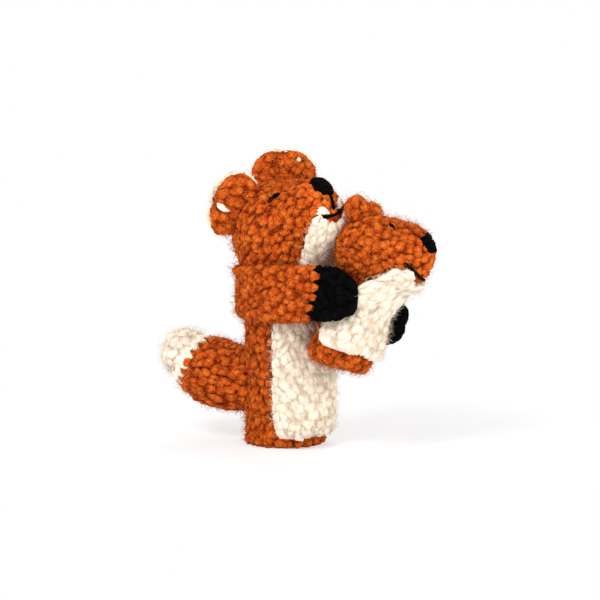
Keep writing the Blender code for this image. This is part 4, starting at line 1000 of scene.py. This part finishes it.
def sewArm(word, side):
    # a flat oval carried along its route, and moved out until it is clear of what it goes round
    route = arms[word]
    start = (side * arms["start"], tube["radius"] + yarn["gap"] + arms["rootThickness"] / 2,
             route[0][2])
    line = smoothLine([start] + route, 12)
    marks = lengthMarks(line)
    length = marks[-1]
    tangents = unit(np.gradient(line, marks, axis=0))

    def tipRound(along):
        return rounding((length - along) / (arms["height"] / 2))

    def growing(along, size, share):
        # from the size at the root to the full size at a share of the length
        root, full = arms["root" + size.capitalize()], arms[size]
        return root + (full - root) * np.minimum(along / (length / share), 1.0)

    def thickness(along):
        return growing(along, "thickness", 2) * (0.45 + 0.55 * tipRound(along))

    def width(along):
        root = 0.4 + 0.6 * rounding(along / (arms["rootHeight"] / 3))
        return growing(along, "height", 3) * (0.15 + 0.85 * tipRound(along) * root)

    def surface(along, across, depth):
        centre = readLine(along, marks, line)
        forward = unit(readLine(along, marks, tangents))
        out = side * unit(np.cross((0.0, 0.0, 1.0), forward))
        upright = side * np.cross(forward, out)
        points = centre + upright * across[:, None] + out * (depth - thickness(along) / 2)[:, None]
        points = clearOfTube(points, depth)
        points = clearOfBall(points, depth, foxHeadCentre, foxHead["radius"], foxHead["tall"])
        points = clearOfCub(points, depth, cubPanel["thickness"] + 3 * yarn["gap"])
        return clearOfBall(points, depth, cubHeadCentre, cub["headRadius"])
    skin = flatSkin(surface, width, thickness, length)
    seam = length - arms["cuff"]
    edge = seam - teeth["length"] * teeth["overlap"]
    title = "fox" + word.capitalize()
    sewPanel(title + "ArmYarn", skin, "orange", "fox_%s_arm" % word, arms["puff"], False,
             0.0, edge, seam)
    sewPanel(title + "PawYarn", skin, "black", "fox_%s_paw" % word, arms["puff"], False,
             edge + teeth["seamGap"] * 0.5, length)


# Tail

tail = {"height": 19.0, "side": -3.0, "aim": 14.5, "tipPitch": 34.0, "length": 24.0,
        "rootRadius": 9.2, "fullRadius": 10.2, "endRadius": 7.4, "seam": 20.0, "tipPuff": 0.7}


def tailSkin():
    # a bellied profile with a round end, turned round a spine that bends upwards
    aim, tipPitch = np.radians([tail["aim"], tail["tipPitch"]])
    level = np.array([-math.sin(aim), math.cos(aim), 0.0])
    end = level * math.cos(tipPitch) + np.array([0.0, 0.0, math.sin(tipPitch)])
    left = unit(np.cross(level, (0.0, 0.0, 1.0)))
    seat = tube["radius"] + yarn["gap"]
    root = np.array([tail["side"], math.sqrt(seat ** 2 - tail["side"] ** 2), tail["height"]])
    length = tail["length"]
    body = smoothLine([(0.0, tail["rootRadius"]), (length * 0.3, tail["fullRadius"]),
                       (length * 0.6, tail["fullRadius"]), (length, tail["endRadius"])], 8)
    turn = np.linspace(0.0, math.pi / 2, 13)[1:]
    endRound = np.stack([length + tail["endRadius"] * np.sin(turn),
                         tail["endRadius"] * np.cos(turn)], axis=1)

    def seated(points, lift):
        # the rounds near the root lean on to follow the tube
        offset = points - root
        share = np.clip(1 - (offset @ level) / (length * 0.6), 0.0, 1.0) ** 2
        flat = root[:2] + (offset @ left)[:, None] * left[:2]
        dot = flat @ level[:2]
        inside = dot ** 2 - (flat ** 2).sum(axis=1) + seat ** 2
        reach = -dot + np.sqrt(np.maximum(inside, 0.0))
        return points + (reach * share)[:, None] * level
    return turnedSkin(np.concatenate([body, endRound]),
                      curvedSpine(root, level, end, length, left), seated)


def sewTail():
    # one skin in two colours, with the teeth of the tip over the orange yarn
    skin = tailSkin()
    edge = tail["seam"] + teeth["length"] * teeth["overlap"]
    sewRound("foxTailYarn", skin, "orange", "fox_tail", 0.0, edge)
    sewRound("foxTailTipYarn", skin, "cream", "fox_tail_tip", edge + yarn["gap"],
             puff=tail["tipPuff"], seam=tail["seam"])


# Faces: distances from the snout's tip and angles round it

thread = {"radius": 0.65, "gap": 0.15, "sides": 8, "ply": 0.36, "wind": 0.22, "lay": 3.0,
          "depth": 0.8, "tail": 0.5, "dive": (1.6, 0.5), "eyeThick": 1.3}
satin = {"stations": 11, "radius": 0.56, "flatten": 1.2, "lift": 1.15, "dive": 2.1, "bow": 0.35,
         "depth": 0.8, "sides": 8, "pace": 0.8}
faces = {
    "foxNose": {"turn": 24.0, "start": 8.2, "length": 6.8, "width": 8.8, "strands": 9},
    "cubNose": {"turn": -30.0, "start": 7.4, "length": 5.8, "width": 6.6, "strands": 7},
    "foxNoseStitch": [(2.4, 24.0), (0.5, 120.0), (3.2, 188.0)],
    "foxMouth": [(7.4, -116.0), (5.7, -138.0), (4.9, -165.0), (4.9, 165.0), (5.7, 138.0),
                 (7.4, 116.0)],
    "foxEye": [(20.2, 46.0), (17.2, 35.0)],
    "cubMouth": [(10.8, -116.0), (8.6, -138.0), (7.6, -172.0), (9.0, 148.0)],
    "cubEye": [(18.4, 43.0), (16.6, 48.0)],
    "cheek": [[(6.7, -108.0), (4.4, -144.0)], [(5.8, -104.0), (4.1, -132.0)],
              [(5.0, -102.0), (3.9, -120.0)]],
}


def sewThread(name, skin, stitch, side=1, nodes=(), colour="black", thick=1.0):
    # a thread over the face: its line is smoothed on a flat face, and its ends go into the skin
    distance, angle = np.array(stitch).T
    angle = np.radians(angle * side)
    flat = np.stack([distance * np.sin(angle), distance * np.cos(angle)], axis=1)
    flat = smoothLine(flat, 8) if len(flat) > 2 else np.linspace(flat[0], flat[1], 12)
    away = unit(flat[[0, -1]] - flat[[1, -2]]) * thread["tail"]
    flat = np.concatenate([flat[:1] + away[:1], flat, flat[-1:] + away[1:]])
    along = skin["length"] - np.linalg.norm(flat, axis=1)
    turns = np.arctan2(flat[:, 0], flat[:, 1]) / (2 * math.pi)
    dive = np.zeros(len(flat))
    dive[[0, -1]], dive[[1, -2]] = thread["dive"]
    centres, outward = overSkin(skin, along, turns, thread["gap"] + thread["radius"] - dive)
    batch = newBatch()
    # two plies wound round each other
    marks = lengthMarks(centres)
    up = unit(outward)
    beside = np.cross(unit(np.gradient(centres, axis=0)), up)
    for ply in (0.0, math.pi):
        wind = (2 * math.pi * marks / thread["lay"] + ply)[:, None]
        offset = thread["wind"] * thick * (np.cos(wind) * up + np.sin(wind) * beside)
        addStrands(batch, ((centres + offset)[None], outward[None]), thread["ply"] * thick, 1.0,
                   thread["depth"], thread["sides"], marks[-1] / len(flat))
    sewPiece(name, batch, colour, nodes)


def sewNose(name, skin, nose, node):
    # satin stitches side by side across the snout, short near the mouth: lift - dive * |t|^5
    each = (nose["strands"], 1)
    share = (np.arange(nose["strands"]) + 0.5) / nose["strands"]
    width = nose["width"] * (1 - 0.6 * share) * np.sqrt(np.maximum(1 - (2 * share - 1) ** 6, 0.3))
    along = skin["length"] - nose["start"] + share * nose["length"]
    t = np.linspace(-1.0, 1.0, satin["stations"])
    turns = nose["turn"] / 360 + (width / skin["girth"](along))[:, None] * t / 2
    places = along[:, None] + satin["bow"] * np.cos(math.pi * t) + chance.normal(0, 0.08, each)
    lift = satin["lift"] - satin["dive"] * np.abs(t) ** 5 + chance.normal(0, 0.06, each)
    batch = newBatch()
    addStrands(batch, overSkin(skin, places, turns, lift), satin["radius"], satin["flatten"],
               satin["depth"], satin["sides"], satin["pace"])
    sewPiece(name, batch, "black", [node])


def sewFaces():
    # noses, threads, cream stitches over the corners of the mouth, and eyes
    sewNose("foxNoseYarn", foxHeadSkin, faces["foxNose"], "fox_nose")
    sewNose("cubNoseYarn", cubHeadSkin, faces["cubNose"], "cub_nose")
    for name, skin, node in (("foxNoseStitch", foxHeadSkin, "fox_nose_stitch"),
                             ("foxMouth", foxHeadSkin, "fox_mouth"),
                             ("cubMouth", cubHeadSkin, "cub_mouth")):
        sewThread(name + "Yarn", skin, faces[name], nodes=[node])
    for number, stitch in enumerate(faces["cheek"]):
        for side, word in ((1, "Right"), (-1, "Left")):
            sewThread("fox%sCheekStitch%d" % (word, number + 1), foxHeadSkin, stitch, side,
                      colour="cream")
    for side, word in ((-1, "right"), (1, "left")):
        title = word.capitalize() + "EyeYarn"
        sewThread("fox" + title, foxHeadSkin, faces["foxEye"], side, ["fox_%s_eye" % word],
                  thick=thread["eyeThick"])
        sewThread("cub" + title, cubHeadSkin, faces["cubEye"], side, ["cub_%s_eye" % word])


# Loose fibres

fibres = {
    "orange": {"standing": 1.25, "lying": 1.4},     # how many start on a square millimetre
    "cream": {"standing": 1.7, "lying": 1.8},
    "black": {"standing": 1.2, "lying": 1.1},
    "longest": 4.6,
    "highest": 2.8,         # how far one stands off the stitches
    "full": 8000,           # a piece with more fibres than this takes no other skin
}
# Spread holds the two values of the gamma distribution that the lengths follow
fibreKinds = {
    "standing": {"length": 2.4, "spread": (2.2, 0.45), "rise": (0.30, 1.0), "drift": 0.6,
                 "bow": 0.0, "radius": 0.052},
    "lying": {"length": 1.9, "spread": (3.0, 0.33), "rise": (-0.4, 0.4), "drift": 1.0,
              "bow": 0.35, "radius": 0.072},
}


def fibreLines(kind, skin, start, stop, span, perArea):
    # A fibre starts on the stitches and drifts over the skin: along and turn change evenly, lift
    # grows with rise * t^0.8, which is a share of the length for a standing one
    given = fibreKinds[kind]
    grid = np.linspace(start, stop, 60)
    girths = np.maximum(skin["girth"](grid), 0.5)
    breadth = span[1] - span[0]
    count = max(4, int(girths.mean() * (stop - start) * breadth * perArea))
    each = (count, 1)
    t = np.array([0.0, 0.5, 1.0])
    along = np.interp(chance.random(count), np.cumsum(girths) / girths.sum(), grid)[:, None]
    turn = (span[0] + breadth * chance.random(count))[:, None]
    girth = np.maximum(skin["girth"](along), 4.0)
    length = given["length"] * chance.gamma(*given["spread"], each)
    length = np.minimum(length, fibres["longest"])
    rise = chance.uniform(*given["rise"], each) * (length if kind == "standing" else 1.0)
    rise = np.minimum(rise, fibres["highest"])
    drift = given["drift"] * length * t
    heading = chance.uniform(0, 2 * math.pi, each) + chance.normal(0, 1.1, each) * t
    places = np.clip(along + drift * np.cos(heading), start, stop)
    turns = turn + drift * np.sin(heading) / girth
    lift = chance.uniform(-0.1, 0.45, each) + rise * t ** 0.8 + given["bow"] * np.sin(math.pi * t)
    radius = given["radius"] * (1 - 0.5 * t) * chance.uniform(0.6, 1.3, each)
    return overSkin(skin, places, turns, lift), radius


def sewFibres(colour):
    # thin three sided needles over every skin of one colour, in pieces of a moderate size
    batch, held, pieces = newBatch(), 0, 0
    for place, source in enumerate(fuzzSources[colour]):
        for kind in fibreKinds:
            line, radius = fibreLines(kind, *source, fibres[colour][kind])
            depth = np.clip(1.7 * chance.random(len(radius)) - 0.3, 0.0, 1.0)
            addFibres(batch, line, radius, depth)
            held += len(radius)
        if held > fibres["full"] or place == len(fuzzSources[colour]) - 1:
            pieces += 1
            sewPiece("%sFibres%d" % (colour, pieces), batch, colour, kind="Fibre")
            print(colour, "fibres", held)
            batch, held = newBatch(), 0


# Wadding

wadding = {"scale": 900.0, "greys": ((0.66, 0.66, 0.64, 1.0), (0.92, 0.92, 0.90, 1.0)),
           "nodes": ("fox_head_stuffing", "fox_tail_stuffing", "cub_body_stuffing",
                     "cub_head_stuffing")}


def dressStuffing():
    # the wadding stays the frame's own solids, with a soft white fibre finish
    material, tree, shader = newMaterial("whiteWadding")
    noise = newNode(tree, "TexNoise", {"Vector": objectSpace(tree), "Scale": wadding["scale"]})
    ramp = newNode(tree, "ValToRGB", {"Fac": noise.outputs["Fac"]})
    for element, grey in zip(ramp.color_ramp.elements, wadding["greys"]):
        element.color = grey
    feed(shader, {"Base Color": ramp.outputs["Color"], "Roughness": 1.0})
    for name in wadding["nodes"]:
        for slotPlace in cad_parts[name].material_slots:
            slotPlace.material = material


# Stage.  Lamps stand at shares of a metre along the view, to its right and up from the target

view = {"azimuth": -50.0, "elevation": 10.0, "pixelsPerMm": 3.15, "frame": 600, "axisColumn": 285,
        "baseRow": 442, "lens": 600.0, "sensor": 36.0}
lamps = {"keyLamp": {"place": (-0.45, -0.35, 0.45), "size": 0.35, "power": 3.8},
         "fillLamp": {"place": (-0.50, 0.55, 0.15), "size": 0.5, "power": 2.7},
         "backLamp": {"place": (0.50, 0.10, 0.50), "size": 0.4, "power": 1.8}}
paper = {"colour": (0.9, 0.9, 0.9, 1.0), "roughness": 0.8, "fadeFrom": 0.05, "fadeTo": 0.14,
         "nearShare": 0.55, "size": 6.0}
skyStrength = 0.55


def aimObject(made, place, aim):
    made.location = place
    made.rotation_euler = Vector(aim).to_track_quat("-Z", "Y").to_euler()


def makeCamera():
    # looks at the point that the photo's middle shows, from so far that the scale is the photo's
    azimuth, elevation = np.radians([view["azimuth"], view["elevation"]])
    right = np.array([math.cos(azimuth), math.sin(azimuth), 0.0])
    away = np.array([-math.sin(azimuth) * math.cos(elevation),
                     math.cos(azimuth) * math.cos(elevation), -math.sin(elevation)])
    up = np.cross(right, away)
    middle = view["frame"] / 2
    target = right * (middle - view["axisColumn"]) + up * (view["baseRow"] - middle)
    target = target / view["pixelsPerMm"] * millimetre + tubeAxis
    width = view["frame"] / view["pixelsPerMm"] * millimetre
    data = bpy.data.cameras.new("camera")
    data.lens = view["lens"]
    data.sensor_width = view["sensor"]
    data.clip_start = 0.01
    camera = putObject("camera", data)
    aimObject(camera, target - away * width * view["lens"] / view["sensor"], away)
    bpy.context.scene.camera = camera
    return right, away, target


def makeLamps(right, away, target):
    for name, lamp in lamps.items():
        data = bpy.data.lights.new(name, "AREA")
        data.shape = "DISK"
        data.size = lamp["size"]
        data.energy = lamp["power"]
        place = target + lamp["place"] @ np.array([away, right, (0.0, 0.0, 1.0)])
        aimObject(putObject(name, data), place, target - place)


def makeFloor():
    # plain white floor: seen by the camera it is half lit paper and half even white
    material, tree, shader = newMaterial("whitePaper")
    feed(shader, {"Base Color": paper["colour"], "Roughness": paper["roughness"],
                  "Specular IOR Level": 0.0})
    even = newNode(tree, "Emission", {"Color": (1.0, 1.0, 1.0, 1.0)})
    distance = newNode(tree, "VectorMath", {0: objectSpace(tree)}, operation="LENGTH")
    fade = newNode(tree, "MapRange", {
        "Value": distance.outputs["Value"], "From Min": paper["fadeFrom"],
        "From Max": paper["fadeTo"], "To Min": paper["nearShare"], "To Max": 1.0})
    share = newNode(tree, "Math", {0: cameraRay(tree), 1: fade.outputs["Result"]},
                    operation="MULTIPLY")
    mix = newNode(tree, "MixShader", {"Fac": share.outputs[0], 1: shader.outputs["BSDF"],
                                      2: even.outputs["Emission"]})
    feed(tree.nodes["Material Output"], {"Surface": mix.outputs["Shader"]})
    mesh = bpy.data.meshes.new("floor")
    size = paper["size"]
    mesh.from_pydata([(-size, -size, 0), (size, -size, 0), (size, size, 0), (-size, size, 0)], [],
                     [(0, 1, 2, 3)])
    mesh.materials.append(material)
    floor = putObject("floor", mesh)


def makeWorld():
    # a soft sky, white where the camera sees it
    world = bpy.data.worlds.new("studio")
    bpy.context.scene.world = world
    world.use_nodes = True
    tree = world.node_tree
    seen = newNode(tree, "MapRange", {"Value": cameraRay(tree), "To Min": skyStrength,
                                      "To Max": 1.0})
    feed(tree.nodes["Background"], {"Color": (1.0, 1.0, 1.0, 1.0),
                                    "Strength": seen.outputs["Result"]})


def sewPuppet():
    sewTube()
    sewBelly()
    print("tube sewn")
    sewRound("foxHeadYarn", foxHeadSkin, "orange", "fox_head", bare=foxHead["bareSnout"])
    sewChin()
    sewFoxEars()
    print("fox head sewn")
    sewRound("cubBodyYarn", cubSkin, "orange", "cub_body")
    sewRound("cubHeadYarn", cubHeadSkin, "orange", "cub_head", bare=cub["bareSnout"])
    sewCubPanel()
    sewCubEars()
    print("cub sewn")
    sewArm("right", -1)
    sewArm("left", 1)
    sewTail()
    sewFaces()
    print("arms, tail and faces sewn")
    for colour in wools:
        sewFibres(colour)


sewPuppet()
dressStuffing()
makeLamps(*makeCamera())
makeFloor()
makeWorld()
bpy.context.scene.view_settings.view_transform = "Standard"
# a face with n corners is n - 2 triangles
triangles = {piece.name: len(piece.data.loops) - 2 * len(piece.data.polygons)
             for piece in bpy.context.scene.objects
             if piece.type == "MESH" and "strand" in piece.data.uv_layers}
print("triangles", sum(triangles.values()), "most", max(triangles.values()))
print("scene ready")
